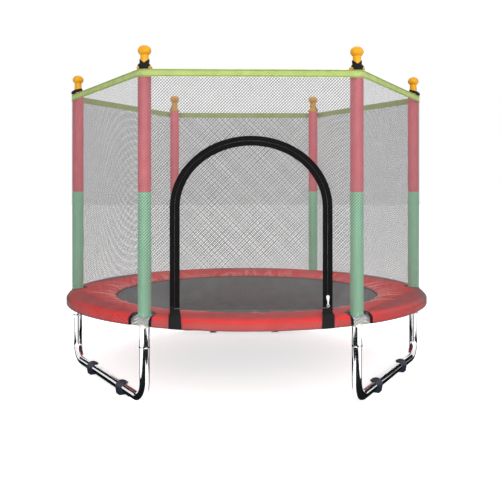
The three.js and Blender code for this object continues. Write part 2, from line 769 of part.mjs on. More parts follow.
// The slider: a rounded body with a bridge that the pull hangs on. It faces -Y, its middle at the origin.
function zipSlider() {
  const half = sliderWidth / 2;
  const tall = sliderHeight / 2;
  const body = new THREE.Shape();
  body.moveTo(-half * 0.55, -tall);
  body.lineTo(half * 0.55, -tall);
  body.lineTo(half, tall * 0.3);
  body.absarc(0, tall * 0.3, half, 0, Math.PI, false);
  body.lineTo(-half * 0.55, -tall);
  const plate = slab(body, 0, sliderThickness * 0.45, 5);
  const bridge = slab(outline([
    [-tall * 0.45, 0.5],
    [tall * 0.55, 0.5],
    [tall * 0.55, sliderThickness],
    [-tall * 0.45, sliderThickness],
  ]), -bridgeWidth / 2, bridgeWidth / 2);
  const eye = slab(outline([
    [-tall * 0.2, sliderThickness * 0.45 - 0.1],
    [tall * 0.3, sliderThickness * 0.45 - 0.1],
    [tall * 0.3, sliderThickness - bridgeWall],
    [-tall * 0.2, sliderThickness - bridgeWall],
  ]), -bridgeWidth, bridgeWidth);
  // The bridge is drawn with x up the slider and y outward.
  const standUp = new THREE.Matrix4().makeBasis(
    new THREE.Vector3(0, 1, 0),
    new THREE.Vector3(0, 0, 1),
    new THREE.Vector3(1, 0, 0),
  );
  bridge.applyMatrix4(standUp);
  eye.applyMatrix4(standUp);
  const geometry = cut(join(plate, bridge), eye);
  geometry.rotateX(Math.PI / 2);
  return geometry;
}

// The pull: a flat tag with a round hole, hanging from a narrow ring through the slider's bridge.
function zipPull() {
  const half = pullWidth / 2;
  const tag = new THREE.Shape();
  tag.moveTo(-half * 0.6, 0);
  tag.lineTo(-half, -pullLength * 0.35);
  tag.lineTo(-half, -pullLength + half);
  tag.absarc(0, -pullLength + half, half, Math.PI, 2 * Math.PI, false);
  tag.lineTo(half, -pullLength * 0.35);
  tag.lineTo(half * 0.6, 0);
  const finger = new THREE.Path();
  finger.absarc(0, -pullLength + half, half * 0.5, 0, 2 * Math.PI, true);
  tag.holes.push(finger);
  const geometry = slab(tag, 0, pullThickness, 5);
  geometry.rotateX(Math.PI / 2);
  return geometry;
}

// ---- assembly ------------------------------------------------------------------------------

postNames.forEach((name, index) => {
  const angle = index * sixth;
  const at = polar(postCircleRadius, angle, 0).toArray();
  place(`ring_section_${name}`, ringSection(), steel, [0, 0, 0], angle);
  const postRadius = postTubeDiameter / 2;
  const tube = uprightTube(postRadius, postRadius - postTubeWall, postBottom, postTop, postSides);
  place(`post_tube_${name}`, tube, postSteel, at, angle);
  const sleeve = (bottom, top) => uprightTube(sleeveRadius, sleeveBore / 2, bottom, top, sleeveSides);
  const lower = sleeve(lowerSleeveBottom, upperSleeveBottom - jointGap);
  place(`lower_sleeve_${name}`, lower, greenFoam, at, angle);
  const upper = sleeve(upperSleeveBottom, sleeveTop);
  place(`upper_sleeve_${name}`, upper, redFoam, at, angle);
  place(`post_cap_${name}`, cap(), amberPlastic, at, angle);
  place(`spring_bank_${index + 1}`, springBank(), springSteel, [0, 0, 0], angle + sixth / 2);
});

const legs = [
  { name: 'left', from: 3, to: 4 },
  { name: 'right', from: 5, to: 6 },
  { name: 'back', from: 1, to: 2 },
];
for (const { name, from, to } of legs) {
  place(`leg_${name}`, leg(from * sixth, to * sixth), steel);
  const outward = ((from + to) / 2) * sixth;
  const middle = polar(postCircleRadius * Math.cos(sixth / 2), outward, 0);
  const across = polar(1, outward + Math.PI / 2, 0);
  [-1, 1].forEach((end, index) => {
    const at = middle.clone().addScaledVector(across, (end * clipSpacing) / 2).toArray();
    place(`foot_clip_${name}_${index + 1}`, footClip(), clipPlastic, at, outward + Math.PI / 2);
  });
}

place('spring_pad', springPad(), padFabric);
place('jumping_mat', jumpingMat(), matFabric);
place('net_top_band', topBand(), bandWebbing);
place('net_panel_front', frontNet(), netCord);
const panelNames = ['front_right', 'back_right', 'back', 'back_left', 'front_left'];
panelNames.forEach((name, index) => {
  place(`net_panel_${name}`, plainNet(), netCord, [0, 0, 0], (index + 1) * sixth);
});
place('door_flap', doorFlap(), netCord);
place('zip_tape_outer', outerTape(), tapeFabric);
place('zip_tape_inner', innerTape(), tapeFabric);

const zip = new THREE.Group();
zip.position.set(zipHalfWidth, -netApothem - sliderFace, doorSill + sliderHeightAboveSill);
trampoline.add(zip);
place('zip_slider', zipSlider(), zipMetal, [0, 0, 0], 0, zip);
place('zip_pull', zipPull(), zipMetal, [0, -sliderThickness - jointGap, -pullBelowSliderMiddle], 0, zip);

export default trampoline;
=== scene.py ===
"""The looks of a children's trampoline with a safety enclosure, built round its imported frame.

Metres, +Z up. The origin is on the floor under the middle, and the doorway faces -Y.
"""
import math

import bmesh
import bpy
import numpy as np
from mathutils import Matrix, Vector, noise


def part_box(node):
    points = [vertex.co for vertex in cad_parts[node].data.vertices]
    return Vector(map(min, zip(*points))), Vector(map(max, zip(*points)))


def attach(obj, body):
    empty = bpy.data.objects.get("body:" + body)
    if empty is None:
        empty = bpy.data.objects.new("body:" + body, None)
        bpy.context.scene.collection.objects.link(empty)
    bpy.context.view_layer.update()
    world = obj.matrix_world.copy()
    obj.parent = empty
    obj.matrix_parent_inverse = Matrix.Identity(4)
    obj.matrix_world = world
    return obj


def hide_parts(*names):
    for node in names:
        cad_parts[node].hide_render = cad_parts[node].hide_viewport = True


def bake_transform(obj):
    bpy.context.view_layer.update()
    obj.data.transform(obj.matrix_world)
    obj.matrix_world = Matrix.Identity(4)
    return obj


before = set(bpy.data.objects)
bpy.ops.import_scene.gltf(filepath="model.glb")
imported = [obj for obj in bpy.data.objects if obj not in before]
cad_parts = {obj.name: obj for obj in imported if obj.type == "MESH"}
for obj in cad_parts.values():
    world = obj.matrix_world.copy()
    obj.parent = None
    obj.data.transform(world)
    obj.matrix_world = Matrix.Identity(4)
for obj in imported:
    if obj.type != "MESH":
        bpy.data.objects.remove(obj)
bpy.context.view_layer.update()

# ---- sizes ---------------------------------------------------------------------------------

POST_NAMES = ["right", "back_right", "back_left", "left", "front_left", "front_right"]
LEGS = {"left": (3, 4), "right": (5, 6), "back": (1, 2)}  # the posts at either end, by number
PANELS = {  # the way each net panel faces, in degrees
    "front": -90, "front_right": -30, "back_right": 30,
    "back": 90, "back_left": 150, "front_left": -150,
}
SIXTH = math.pi / 3


def low(node):
    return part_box(node)[0]


def high(node):
    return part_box(node)[1]


def middle(node):
    return (low(node) + high(node)) / 2


POST_CIRCLE = middle("upper_sleeve_right").x
RING_Z = middle("jumping_mat").z
TUBE_R = 0.016
SPIGOT_R = 0.0107
STUB_END = low("ring_section_right").z
SLEEVE_R = (high("upper_sleeve_right").x - low("upper_sleeve_right").x) / 2
SLEEVE_BORE = 0.0132
SLEEVE_TOP = high("upper_sleeve_right").z
COLOUR_CHANGE = high("lower_sleeve_right").z
SLEEVE_FOOT = low("lower_sleeve_right").z
CAP_FOOT = low("post_cap_right").z
LEG_BEND = 0.060
LEG_NECK_R = 0.0134
LEG_BAR_Z = 0.023
CLIP_LENGTH = 0.032
CLIP_INNER = TUBE_R + 0.0004
CLIP_OUTER = CLIP_INNER + 0.005
MAT_RADIUS = high("jumping_mat").x
MAT_THICKNESS = high("jumping_mat").z - low("jumping_mat").z
PAD_IN = 0.519
PAD_OUT = 0.700
PAD_FOOT = low("spring_pad").z
PAD_CROWN = RING_Z + TUBE_R + 0.011
PAD_DROP = 0.014
PAD_UNDER = RING_Z + TUBE_R + 0.0006
NOTCH_HALF = 0.040
NOTCH_MIDDLE = POST_CIRCLE + 0.005
BAND_TOP = SLEEVE_TOP - 0.002
BAND_FOOT = BAND_TOP - 0.024
NET_TOP = high("net_panel_back").z
NET_FOOT = low("net_panel_back").z
NET_APOTHEM = middle("net_panel_back").y
NET_GAP = NET_APOTHEM - POST_CIRCLE * math.cos(SIXTH / 2)  # middle of a post to the net
NET_STRAIGHT = POST_CIRCLE * math.sin(SIXTH / 2)  # half of a panel, without its corners
NET_HALF = NET_STRAIGHT + NET_GAP * SIXTH / 2
NET_LIFT = 0.001  # net above the pad that it lies on
THREAD_PITCH = 0.0068
THREAD_WIDTHS = {1: 0.0012, -1: 0.0021}  # the two directions
THREAD_THICK = 0.0002
DOOR_HALF = high("zip_tape_outer").x
DOOR_SILL = low("door_flap").z
DOOR_SPRING = DOOR_SILL + 0.314
DOOR_CROWN = high("zip_tape_outer").z - DOOR_SPRING
TAPE_WIDTH = 0.015
TAPE_HALF_THICK = 0.0012
ZIP_GAP = 0.001
TAB_TOP = DOOR_SILL + 0.006
WEBBING_IN = MAT_RADIUS - 0.026
WEBBING_OUT = MAT_RADIUS + 0.0125
SPRINGS = 36

# ---- building meshes -----------------------------------------------------------------------


def polar(radius, angle, height=0.0):
    return Vector((radius * math.cos(angle), radius * math.sin(angle), height))


def up(height):
    return Vector((0, 0, height))


def full_turn(count):
    """This many angles, evenly all the way round."""
    return np.arange(count) * 2 * math.pi / count


def linked(name, data):
    obj = bpy.data.objects.new(name, data)
    bpy.context.scene.collection.objects.link(obj)
    return obj


def bevelled(obj, width, angle):
    """Bevels the piece's edges that are sharper than this angle."""
    modifier = obj.modifiers.new("bevel", "BEVEL")
    modifier.width = width
    modifier.segments = 2
    modifier.limit_method = "ANGLE"
    modifier.angle_limit = math.radians(angle)
    graph = bpy.context.evaluated_depsgraph_get()
    mesh = bpy.data.meshes.new_from_object(obj.evaluated_get(graph))
    obj.modifiers.clear()
    obj.data = mesh


class Build:
    """Collects the vertices and faces of one piece."""

    def __init__(self):
        self.points, self.faces = [], []

    def add(self, points, faces, matrix=None):
        first = len(self.points)
        if matrix is not None:
            points = [matrix @ Vector(p) for p in points]
        self.points.extend(tuple(p) for p in points)
        self.faces.extend(tuple(first + k for k in face) for face in faces)
        return self

    def piece(self, name, material, slot, body="frame", sharp=60, replaces=None,
              bevel=None, outward=True):
        """Makes the object: its body, the node it takes the place of, (width, angle) of a bevel."""
        mesh = bpy.data.meshes.new(name)
        mesh.from_pydata(self.points, [], self.faces)
        if outward:
            work = bmesh.new()
            work.from_mesh(mesh)
            bmesh.ops.recalc_face_normals(work, faces=work.faces)
            work.to_mesh(mesh)
            work.free()
        mesh.shade_smooth()
        mesh.set_sharp_from_angle(angle=math.radians(sharp))
        mesh.materials.append(material)
        obj = linked(name, mesh)
        if body:
            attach(obj, body)
        if bevel:
            bevelled(obj, *bevel)
        if replaces:
            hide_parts(replaces)
        return obj


def loft(rings, closed=False):
    """Skin over rings of points, an array of shape (rings, points, 3), capped unless closed."""
    rings = np.asarray(rings, float)
    count, around = rings.shape[:2]
    faces = []
    for r in range(count if closed else count - 1):
        a, b = r * around, ((r + 1) % count) * around
        for k in range(around):
            n = (k + 1) % around
            faces.append((a + k, a + n, b + n, b + k))
    if not closed:
        faces.append(tuple(reversed(range(around))))
        faces.append(tuple(range((count - 1) * around, count * around)))
    return rings.reshape(-1, 3).tolist(), faces


def circle(radius, sides):
    turn = full_turn(sides)
    return np.stack([np.cos(turn), np.sin(turn)], 1) * radius


def sweep(path, section, scale=None, closed=False):
    """A section of (side, up) points swept along a path, turned as little as possible."""
    path = np.asarray([tuple(p) for p in path], float)
    section = np.asarray(section, float)
    if closed:
        along = np.roll(path, -1, 0) - np.roll(path, 1, 0)
    else:
        along = np.gradient(path, axis=0)
    along /= np.linalg.norm(along, axis=1)[:, None]
    side = np.cross(along[0], (0, 0, 1))
    if np.linalg.norm(side) < 1e-3:
        side = np.array([1.0, 0, 0])
    rings = []
    for k, (point, ahead) in enumerate(zip(path, along)):
        side = side - ahead * np.dot(side, ahead)
        side /= np.linalg.norm(side)
        upward = np.cross(side, ahead)
        size = 1 if scale is None else scale[k]
        rings.append(point + size * (section[:, :1] * side + section[:, 1:] * upward))
    return loft(rings, closed)


def tube(path, radius, sides=24, closed=False, scale=None):
    return sweep(path, circle(radius, sides), scale, closed)


def eased(count, cut):
    """The scale of each ring of a steel tube whose two ends are thinner by this much."""
    return [1 - cut / TUBE_R] + [1] * (count - 2) + [1 - cut / TUBE_R]


def lathe(profile, sides=48, closed=True):
    """A solid of revolution about Z from (radius, height) points."""
    points, rows = [], []
    for radius, height in profile:
        if radius < 1e-6:
            rows.append([len(points)] * sides)
            points.append((0, 0, height))
            continue
        rows.append(list(range(len(points), len(points) + sides)))
        points.extend((x, y, height) for x, y in circle(radius, sides))
    faces = []
    pairs = list(zip(rows, rows[1:])) + ([(rows[-1], rows[0])] if closed else [])
    for under, over in pairs:
        for k in range(sides):
            n = (k + 1) % sides
            corners = [under[k], under[n], over[n], over[k]]
            face = [c for j, c in enumerate(corners) if c not in corners[:j]]
            if len(face) > 2:
                faces.append(tuple(face))
    return points, faces


def ribbon(back, front, half):
    """The section of a flat strap, with its corners cut off."""
    corners = np.array([(back, -half), (front, -half), (front, half), (back, half)])
    ahead = np.roll(corners, -1, 0)
    cut = [0.75 * corners + 0.25 * ahead, 0.25 * corners + 0.75 * ahead]
    return np.stack(cut, 1).reshape(-1, 2)


def slab(rows, columns, corner):
    """A closed slab from corner(row, column), which gives a point of its front and its back."""
    grid = [corner(r, c) for r in range(rows) for c in range(columns)]
    count = rows * columns
    faces = []
    for r in range(rows - 1):
        for c in range(columns - 1):
            a = r * columns + c
            square = (a, a + 1, a + columns + 1, a + columns)
            faces += [square, tuple(count + k for k in (square[0], *square[:0:-1]))]
    rim = list(range(columns))
    rim += [r * columns + columns - 1 for r in range(1, rows)]
    rim += [(rows - 1) * columns + c for c in range(columns - 2, -1, -1)]
    rim += [r * columns for r in range(rows - 2, 0, -1)]
    faces += [(b, a, count + a, count + b) for a, b in zip(rim, rim[1:] + rim[:1])]
    return [front for front, _ in grid] + [back for _, back in grid], faces


def stitches(build, path, length, pitch, width):
    """Small raised dashes along a path."""
    path = np.asarray([tuple(p) for p in path], float)
    gone = np.concatenate([[0], np.cumsum(np.linalg.norm(np.diff(path, axis=0), axis=1))])
    count = int(gone[-1] / pitch)
    for k in range(count):
        marks = (k + 0.5) * gone[-1] / count + np.array([-0.5, -0.3, 0.3, 0.5]) * length
        points = np.stack([np.interp(marks, gone, path[:, axis]) for axis in range(3)], 1)
        build.add(*tube(points, width / 2, 5, scale=[0.4, 1, 1, 0.4]))


# ---- materials -----------------------------------------------------------------------------


def add_node(tree, kind, inputs=None, **settings):
    """A node with its settings, and its inputs linked to sockets or set to values."""
    made = tree.nodes.new(kind)
    for key, value in settings.items():
        setattr(made, key, value)
    for key, value in (inputs or {}).items():
        named = [x for x in made.inputs if x.name == key and x.enabled]
        socket = named[0] if named else made.inputs[key]
        if isinstance(value, bpy.types.NodeSocket):
            tree.links.new(value, socket)
        else:
            socket.default_value = value
    return made


class Shade:
    """A material with a Principled shader, and short ways to add nodes to it."""

    def __init__(self, name, colour, roughness, metallic=0.0, **sockets):
        self.material = bpy.data.materials.new(name)
        self.material.use_nodes = True
        self.tree = self.material.node_tree
        self.shader = self.tree.nodes["Principled BSDF"]
        self.shader.inputs["Base Color"].default_value = (*colour, 1)
        self.shader.inputs["Roughness"].default_value = roughness
        self.shader.inputs["Metallic"].default_value = metallic
        for key, value in sockets.items():
            self.shader.inputs[key.replace("_", " ")].default_value = value
        self.colour = colour
        self.normal = None

    def node(self, kind, inputs=None, **settings):
        return add_node(self.tree, kind, inputs, **settings)

    def feed(self, output, name):
        self.tree.links.new(output, self.shader.inputs[name])
        return self

    def place(self, stretch=(1, 1, 1), turn=(0, 0, 0)):
        """Object coordinates in metres, stretched."""
        source = self.node("ShaderNodeTexCoord").outputs["Object"]
        inputs = {"Vector": source, "Scale": stretch, "Rotation": turn}
        return self.node("ShaderNodeMapping", inputs).outputs["Vector"]

    def noise(self, scale, detail=3.0, stretch=(1, 1, 1)):
        inputs = {"Vector": self.place(stretch), "Scale": scale, "Detail": detail}
        return self.node("ShaderNodeTexNoise", inputs).outputs["Fac"]

    def weave(self, pitch, turn=(0, 0, 0)):
        """A plain weave: two crossed wave textures."""
        inputs = {"Vector": self.place((1, 1, 1), turn), "Scale": 1 / (2 * pitch)}
        warp, weft = (
            self.node("ShaderNodeTexWave", inputs, bands_direction=way).outputs["Fac"]
            for way in ("X", "Z")
        )
        return self.node("ShaderNodeMath", {0: warp, 1: weft}, operation="MULTIPLY").outputs[0]

    def vary(self, fac, darker, lighter):
        """Blends the colour by fac, from darker to lighter times itself."""
        ramp = self.node("ShaderNodeValToRGB", {"Fac": fac})
        ends = zip(ramp.color_ramp.elements, (darker, lighter), (0.25, 0.75))
        for element, factor, position in ends:
            element.color = (*(min(1, c * factor) for c in self.colour), 1)
            element.position = position
        return self.feed(ramp.outputs["Color"], "Base Color")

    def rough(self, fac, least, most):
        inputs = {"Value": fac, "To Min": least, "To Max": most}
        return self.feed(self.node("ShaderNodeMapRange", inputs).outputs["Result"], "Roughness")

    def bump(self, height, strength, distance):
        inputs = {"Height": height, "Strength": strength, "Distance": distance}
        if self.normal:
            inputs["Normal"] = self.normal
        self.normal = self.node("ShaderNodeBump", inputs).outputs["Normal"]
        return self.feed(self.normal, "Normal")


def chrome_finish():
    shade = Shade("chrome", (0.83, 0.84, 0.86), 0.06, 1.0)
    shade.rough(shade.noise(14, 4), 0.03, 0.12)
    return shade.bump(shade.noise(40, 2), 0.05, 0.0004).material


def galvanised_finish(name="galvanised", colour=(0.72, 0.73, 0.74), metal=1.0):
    shade = Shade(name, colour, 0.35, metal)
    shade.vary(shade.noise(60, 5), 0.92, 1.06)
    return shade.rough(shade.noise(90, 3), 0.3, 0.42).material


def foam_finish(name, colour):
    shade = Shade(name, colour, 0.42, Specular_IOR_Level=0.4)
    shade.vary(shade.noise(9, 4, (1, 1, 0.4)), 0.93, 1.05)
    shade.bump(shade.noise(45, 4, (1, 1, 0.35)), 0.25, 0.0012)
    return shade.bump(shade.noise(900, 2), 0.12, 0.0002).material


def vinyl_finish(name, colour, roughness, gloss, strength, distance, crease=None):
    """Coated woven cloth, which takes the paler colour crease where the attribute "crease" is high:
    a painted highlight along the tops of the creases.
    """
    shade = Shade(name, colour, roughness, Specular_IOR_Level=gloss)
    shade.vary(shade.noise(16, 5), 0.9, 1.06)
    if crease:
        # Painted highlight: the paler crease colour is blended in along the pad's ridges, where
        # they would catch the light.
        cloth = shade.shader.inputs["Base Color"].links[0].from_socket
        crease_highlight = shade.node("ShaderNodeAttribute", attribute_name="crease").outputs["Fac"]
        inputs = {"Factor": crease_highlight, "A": cloth, "B": (*crease, 1)}
        mixed = shade.node("ShaderNodeMix", inputs, data_type="RGBA")
        shade.feed(next(x for x in mixed.outputs if x.enabled), "Base Color")
    shade.bump(shade.noise(70, 4), strength, distance)
    return shade.bump(shade.weave(0.0016), 0.3, 0.00025).material


def cloth_finish(name, colour, pitch, roughness=0.85, turn=(0, 0, 0), strength=0.6):
    sheen, gloss = (0.0, 0.06) if max(colour) < 0.1 else (0.1, 0.15)
    shade = Shade(name, colour, roughness, Sheen_Weight=sheen, Specular_IOR_Level=gloss)
    shade.vary(shade.noise(30, 5), 0.85, 1.12)
    return shade.bump(shade.weave(pitch, turn), strength, pitch * 0.4).material


def plastic_finish(name, colour, roughness, grain=0.1):
    shade = Shade(name, colour, roughness)
    shade.vary(shade.noise(25, 3), 0.94, 1.04)
    shade.rough(shade.noise(60, 3), max(0.03, roughness - 0.05), roughness + 0.08)
    return shade.bump(shade.noise(400, 2), grain, 0.0002).material


def amber_finish():
    """Glossy moulded plastic with a faint cloudiness."""
    shade = Shade("amber_plastic", (0.72, 0.33, 0.005), 0.1, Specular_IOR_Level=0.2)
    shade.vary(shade.noise(45, 4), 0.88, 1.06)
    shade.rough(shade.noise(60, 3), 0.06, 0.14)
    return shade.bump(shade.noise(30, 2), 0.04, 0.0004).material


def thread_finish():
    shade = Shade("net_thread", (0.215, 0.215, 0.217), 0.9, Specular_IOR_Level=0.1)
    return shade.vary(shade.noise(35, 4), 0.8, 1.25).material


CHROME = chrome_finish()
GALVANISED = galvanised_finish()
RED_FOAM = foam_finish("red_foam_skin", (0.84, 0.122, 0.160))
GREEN_FOAM = foam_finish("green_foam_skin", (0.305, 0.69, 0.415))
AMBER = amber_finish()
# Its crease colour is a painted highlight on the tops of the pad's creases.
PAD_VINYL = vinyl_finish(
    "pad_vinyl", (0.92, 0.013, 0.012), 0.72, 0.08, 0.3, 0.0012, crease=(1.0, 0.27, 0.24)
)
HEM_VINYL = vinyl_finish("hem_vinyl", (0.22, 0.006, 0.008), 0.5, 0.25, 0.2, 0.0015)
FLAT = (math.pi / 2, 0, 0)  # turns a weave to lie level
MAT_CLOTH = cloth_finish("mat_cloth", (0.105, 0.100, 0.100), 0.0022, 0.7, FLAT, 0.8)
MAT_WEBBING = cloth_finish("mat_webbing", (0.02, 0.02, 0.021), 0.0018)
BAND = cloth_finish("band_webbing", (0.405, 0.50, 0.160), 0.0016, 0.75)
OLIVE = cloth_finish("band_hem", (0.150, 0.235, 0.055), 0.0012, 0.75)
# A paler lime: painted highlight on the band's fold over each post.
FOLD_HIGHLIGHT_LIME = cloth_finish("band_arc", (0.62, 0.70, 0.40), 0.0012, 0.7)
TAPE = cloth_finish("zip_tape_cloth", (0.006, 0.006, 0.0063), 0.0012, 0.8)
TAB = cloth_finish("tab_webbing", (0.016, 0.017, 0.017), 0.0015, 0.75)
ELASTIC = cloth_finish("black_elastic", (0.014, 0.014, 0.015), 0.0011, 0.7)
BINDING = cloth_finish("black_binding", (0.012, 0.012, 0.013), 0.0012, 0.65)
THREAD = thread_finish()
STITCH = cloth_finish("stitching", (0.02, 0.02, 0.021), 0.0006, 0.7)
WHITE_PLASTIC = plastic_finish("white_zip_plastic", (0.86, 0.86, 0.87), 0.3)
ZIP_COIL = plastic_finish("zip_coil", (0.008, 0.008, 0.009), 0.65)
NET_HEM = cloth_finish("net_hem", (0.11, 0.105, 0.105), 0.0012, 0.8)
CLIP_PLASTIC = plastic_finish("clip_plastic", (0.018, 0.021, 0.040), 0.42, 0.25)
RING_ZINC = galvanised_finish("ring_zinc", (0.80, 0.81, 0.81), 0.4)
WELD_ZINC = galvanised_finish("weld_zinc", (0.70, 0.66, 0.42), 0.5)
SPRING_STEEL = galvanised_finish("spring_zinc")
RED_STITCH = cloth_finish("red_stitching", (0.5, 0.02, 0.02), 0.0006, 0.7)
CARD = Shade("dark_card", (0.012, 0.014, 0.014), 1, Specular_IOR_Level=0).material

# ---- camera, floor and light ---------------------------------------------------------------

LENS = 49.43  # on a sensor 36 wide
CAMERA_AT = Vector((-0.0653, -2.7649, 0.6887))
CAMERA_AHEAD = Vector((0.02824, 0.9996, 0.0))
CAMERA_SHIFT = -0.1188  # the photograph's horizon lies above its middle
WORLD_LIGHT = 0.58
FLOOR_GLOW = 0.60  # what the camera sees of the floor even in full shade
FLOOR_LIT = 1.0
FLOOR_HALF = 30
LIGHTS = {  # place, aim, size and watts
    "key": ((-2.2, -2.8, 3.2), (0, 0, 0.5), (2.6, 2.2), 28),
    "fill": ((2.6, -2.4, 2.2), (0, 0, 0.5), (2.4, 2.0), 36),
    "front": ((0, -4.2, 1.3), (0, 0, 0.5), (3.2, 2.0), 80),
    "top": ((0, 0.2, 4.0), (0, 0, 0.3), (3.0, 3.0), 22),
}
STANDING_CARDS = (-91, 43, 135)  # degrees round the object
CARD_DISTANCE, CARD_HEIGHT = 4.6, 1.1
CARD_LIFT = 0.0006  # of the cards on the floor
WEDGED_POSTS = (0, 3, 4, 5)
WEDGES = ((0, 16, 1.5), (138, 22, 1.1), (-138, 22, 1.1))  # turn from the camera, half angle, reach
WEDGE_START = 0.13
STRIP = (0.030, 0.062)  # how far out from a leg's bar a strip starts and ends
STRIP_CUT = 0.16  # of the leg's span, at either end


def make_camera():
    camera = linked("camera", bpy.data.cameras.new("camera"))
    camera.data.sensor_width = 36.0
    camera.data.lens = LENS
    camera.data.shift_y = CAMERA_SHIFT
    camera.location = CAMERA_AT
    camera.rotation_euler = CAMERA_AHEAD.to_track_quat("-Z", "Y").to_euler()
    bpy.context.scene.camera = camera


def seen_rays(tree):
    """A socket that is 1 for camera, glossy and transmission rays."""
    path = add_node(tree, "ShaderNodeLightPath")
    total = path.outputs["Is Camera Ray"]
    for name in ("Is Glossy Ray", "Is Transmission Ray"):
        pair = {0: total, 1: path.outputs[name]}
        total = add_node(tree, "ShaderNodeMath", pair, operation="MAXIMUM").outputs[0]
    return total


def make_world():
    world = bpy.data.worlds.new("studio")
    bpy.context.scene.world = world
    world.use_nodes = True
    tree = world.node_tree
    background = tree.nodes["Background"]
    background.inputs["Color"].default_value = (1, 1, 1, 1)
    inputs = {"Value": seen_rays(tree), "To Min": WORLD_LIGHT, "To Max": 1.0}
    strength = add_node(tree, "ShaderNodeMapRange", inputs).outputs["Result"]
    tree.links.new(strength, background.inputs["Strength"])


def plates(name, outlines, material):
    """One object of flat plates, one plate for each outline."""
    points, faces = [], []
    for outline in outlines:
        faces.append(tuple(range(len(points), len(points) + len(outline))))
        points += [tuple(p) for p in outline]
    mesh = bpy.data.meshes.new(name)
    mesh.from_pydata(points, [], faces)
    mesh.materials.append(material)
    obj = linked(name, mesh)
    return obj


def make_floor():
    """A white floor, with a shadow that the camera sees and a plainer grey for all other light."""
    material = bpy.data.materials.new("floor")
    material.use_nodes = True
    tree = material.node_tree
    tree.nodes.remove(tree.nodes["Principled BSDF"])
    real = add_node(tree, "ShaderNodeBsdfDiffuse", {"Color": (0.8, 0.8, 0.8, 1)})
    lit = add_node(tree, "ShaderNodeBsdfDiffuse", {"Color": (FLOOR_LIT, FLOOR_LIT, FLOOR_LIT, 1)})
    glow = add_node(tree, "ShaderNodeEmission", {"Strength": FLOOR_GLOW})
    both = add_node(tree, "ShaderNodeAddShader", {0: lit.outputs[0], 1: glow.outputs[0]})
    inputs = {0: seen_rays(tree), 1: real.outputs[0], 2: both.outputs[0]}
    mix = add_node(tree, "ShaderNodeMixShader", inputs)
    tree.links.new(mix.outputs[0], tree.nodes["Material Output"].inputs["Surface"])
    corners = [(x * FLOOR_HALF, y * FLOOR_HALF, 0) for x, y in ((-1, -1), (1, -1), (1, 1), (-1, 1))]
    plates("floor", [corners], material).location.z = -0.0004


def area_light(name, at, aim, size, power):
    data = bpy.data.lights.new(name, "AREA")
    data.shape = "RECTANGLE"
    data.size, data.size_y = size
    data.energy = power
    lamp = linked(name, data)
    lamp.location = at
    lamp.rotation_euler = (Vector(aim) - Vector(at)).to_track_quat("-Z", "Y").to_euler()


def dark_card(name, outlines):
    """A dark card that only metal sees, as in a photographer's studio."""
    card = plates(name, outlines, CARD)
    card.visible_camera = card.visible_diffuse = False
    card.visible_shadow = card.visible_transmission = False
    return card


def floor_cards():
    """Dark shapes on the floor for the streaks in the chromed tube."""
    outlines = []
    for index in WEDGED_POSTS:
        foot = polar(POST_CIRCLE, index * SIXTH)
        seen_from = math.atan2(CAMERA_AT.y - foot.y, CAMERA_AT.x - foot.x)
        for turn, half, reach in WEDGES:
            ends = ((WEDGE_START, -half), (reach, -half), (reach, half), (WEDGE_START, half))
            outlines.append([
                foot + polar(at, seen_from + math.radians(turn + side), CARD_LIFT)
                for at, side in ends
            ])
    for first, second in LEGS.values():
        start = polar(POST_CIRCLE, first * SIXTH, CARD_LIFT)
        stop = polar(POST_CIRCLE, second * SIXTH, CARD_LIFT)
        near, far = (polar(1, (first + second) / 2 * SIXTH) * out for out in STRIP)
        inset = (stop - start) * STRIP_CUT
        start, stop = start + inset, stop - inset
        outlines.append([start + near, stop + near, stop + far, start + far])
    dark_card("floor_cards", outlines)


def make_studio():
    make_world()
    make_floor()
    for name, settings in LIGHTS.items():
        area_light(name, *settings)
    floor_cards()
    corners = [(-1.0, 0, -1.1), (1.0, 0, -1.1), (1.0, 0, 1.1), (-1.0, 0, 1.1)]
    for turn in STANDING_CARDS:
        card = dark_card(f"card_{turn % 360}", [corners])
        card.location = polar(CARD_DISTANCE, math.radians(turn), CARD_HEIGHT)
        card.rotation_euler.z = math.radians(turn) + math.pi / 2
    bpy.context.scene.view_settings.view_transform = "Standard"


# ---- frame: ring, legs, clips --------------------------------------------------------------


def arc_path(radius, start, stop, height, steps):
    return [polar(radius, start + (stop - start) * k / steps, height) for k in range(steps + 1)]


def ring_section(name, angle):
    """One sixth of the ring, its leg socket and weld, and the spigot that the post slides over."""
    at = polar(POST_CIRCLE, angle)
    trim = 0.0004
    path = arc_path(POST_CIRCLE, angle - SIXTH / 2 + trim, angle + SIXTH / 2 - trim, RING_Z, 40)
    down = [at + up(z) for z in np.linspace(RING_Z, STUB_END, 12)]
    build = Build()
    build.add(*tube(path, TUBE_R, 32, scale=eased(len(path), 0.0012)))
    build.add(*tube(down, TUBE_R, 32, scale=[1] * 11 + [1 - 0.0008 / TUBE_R]))
    build.add(*tube([at + up(RING_Z), at + up(RING_Z + 0.076)], SPIGOT_R, 24))
    node = f"ring_section_{name}"
    build.piece(f"ring_tube_{name}", RING_ZINC, "chromed_tube", sharp=50, replaces=node)
    bead = []
    for turn in full_turn(48):
        across = TUBE_R * 1.02 * math.cos(turn)
        drop = math.sqrt(max(TUBE_R**2 - (across * 0.94) ** 2, 0))
        wobble = 0.0004 * noise.noise(Vector((turn * 6, angle, 0))) / TUBE_R
        bead.append(at + polar(TUBE_R * 1.02, turn + angle) * (1 + wobble) + up(RING_Z - drop))
    weld = Build().add(*tube(bead, 0.0014, 8, closed=True))
    weld.piece(f"weld_bead_{name}", WELD_ZINC, "chromed_tube")


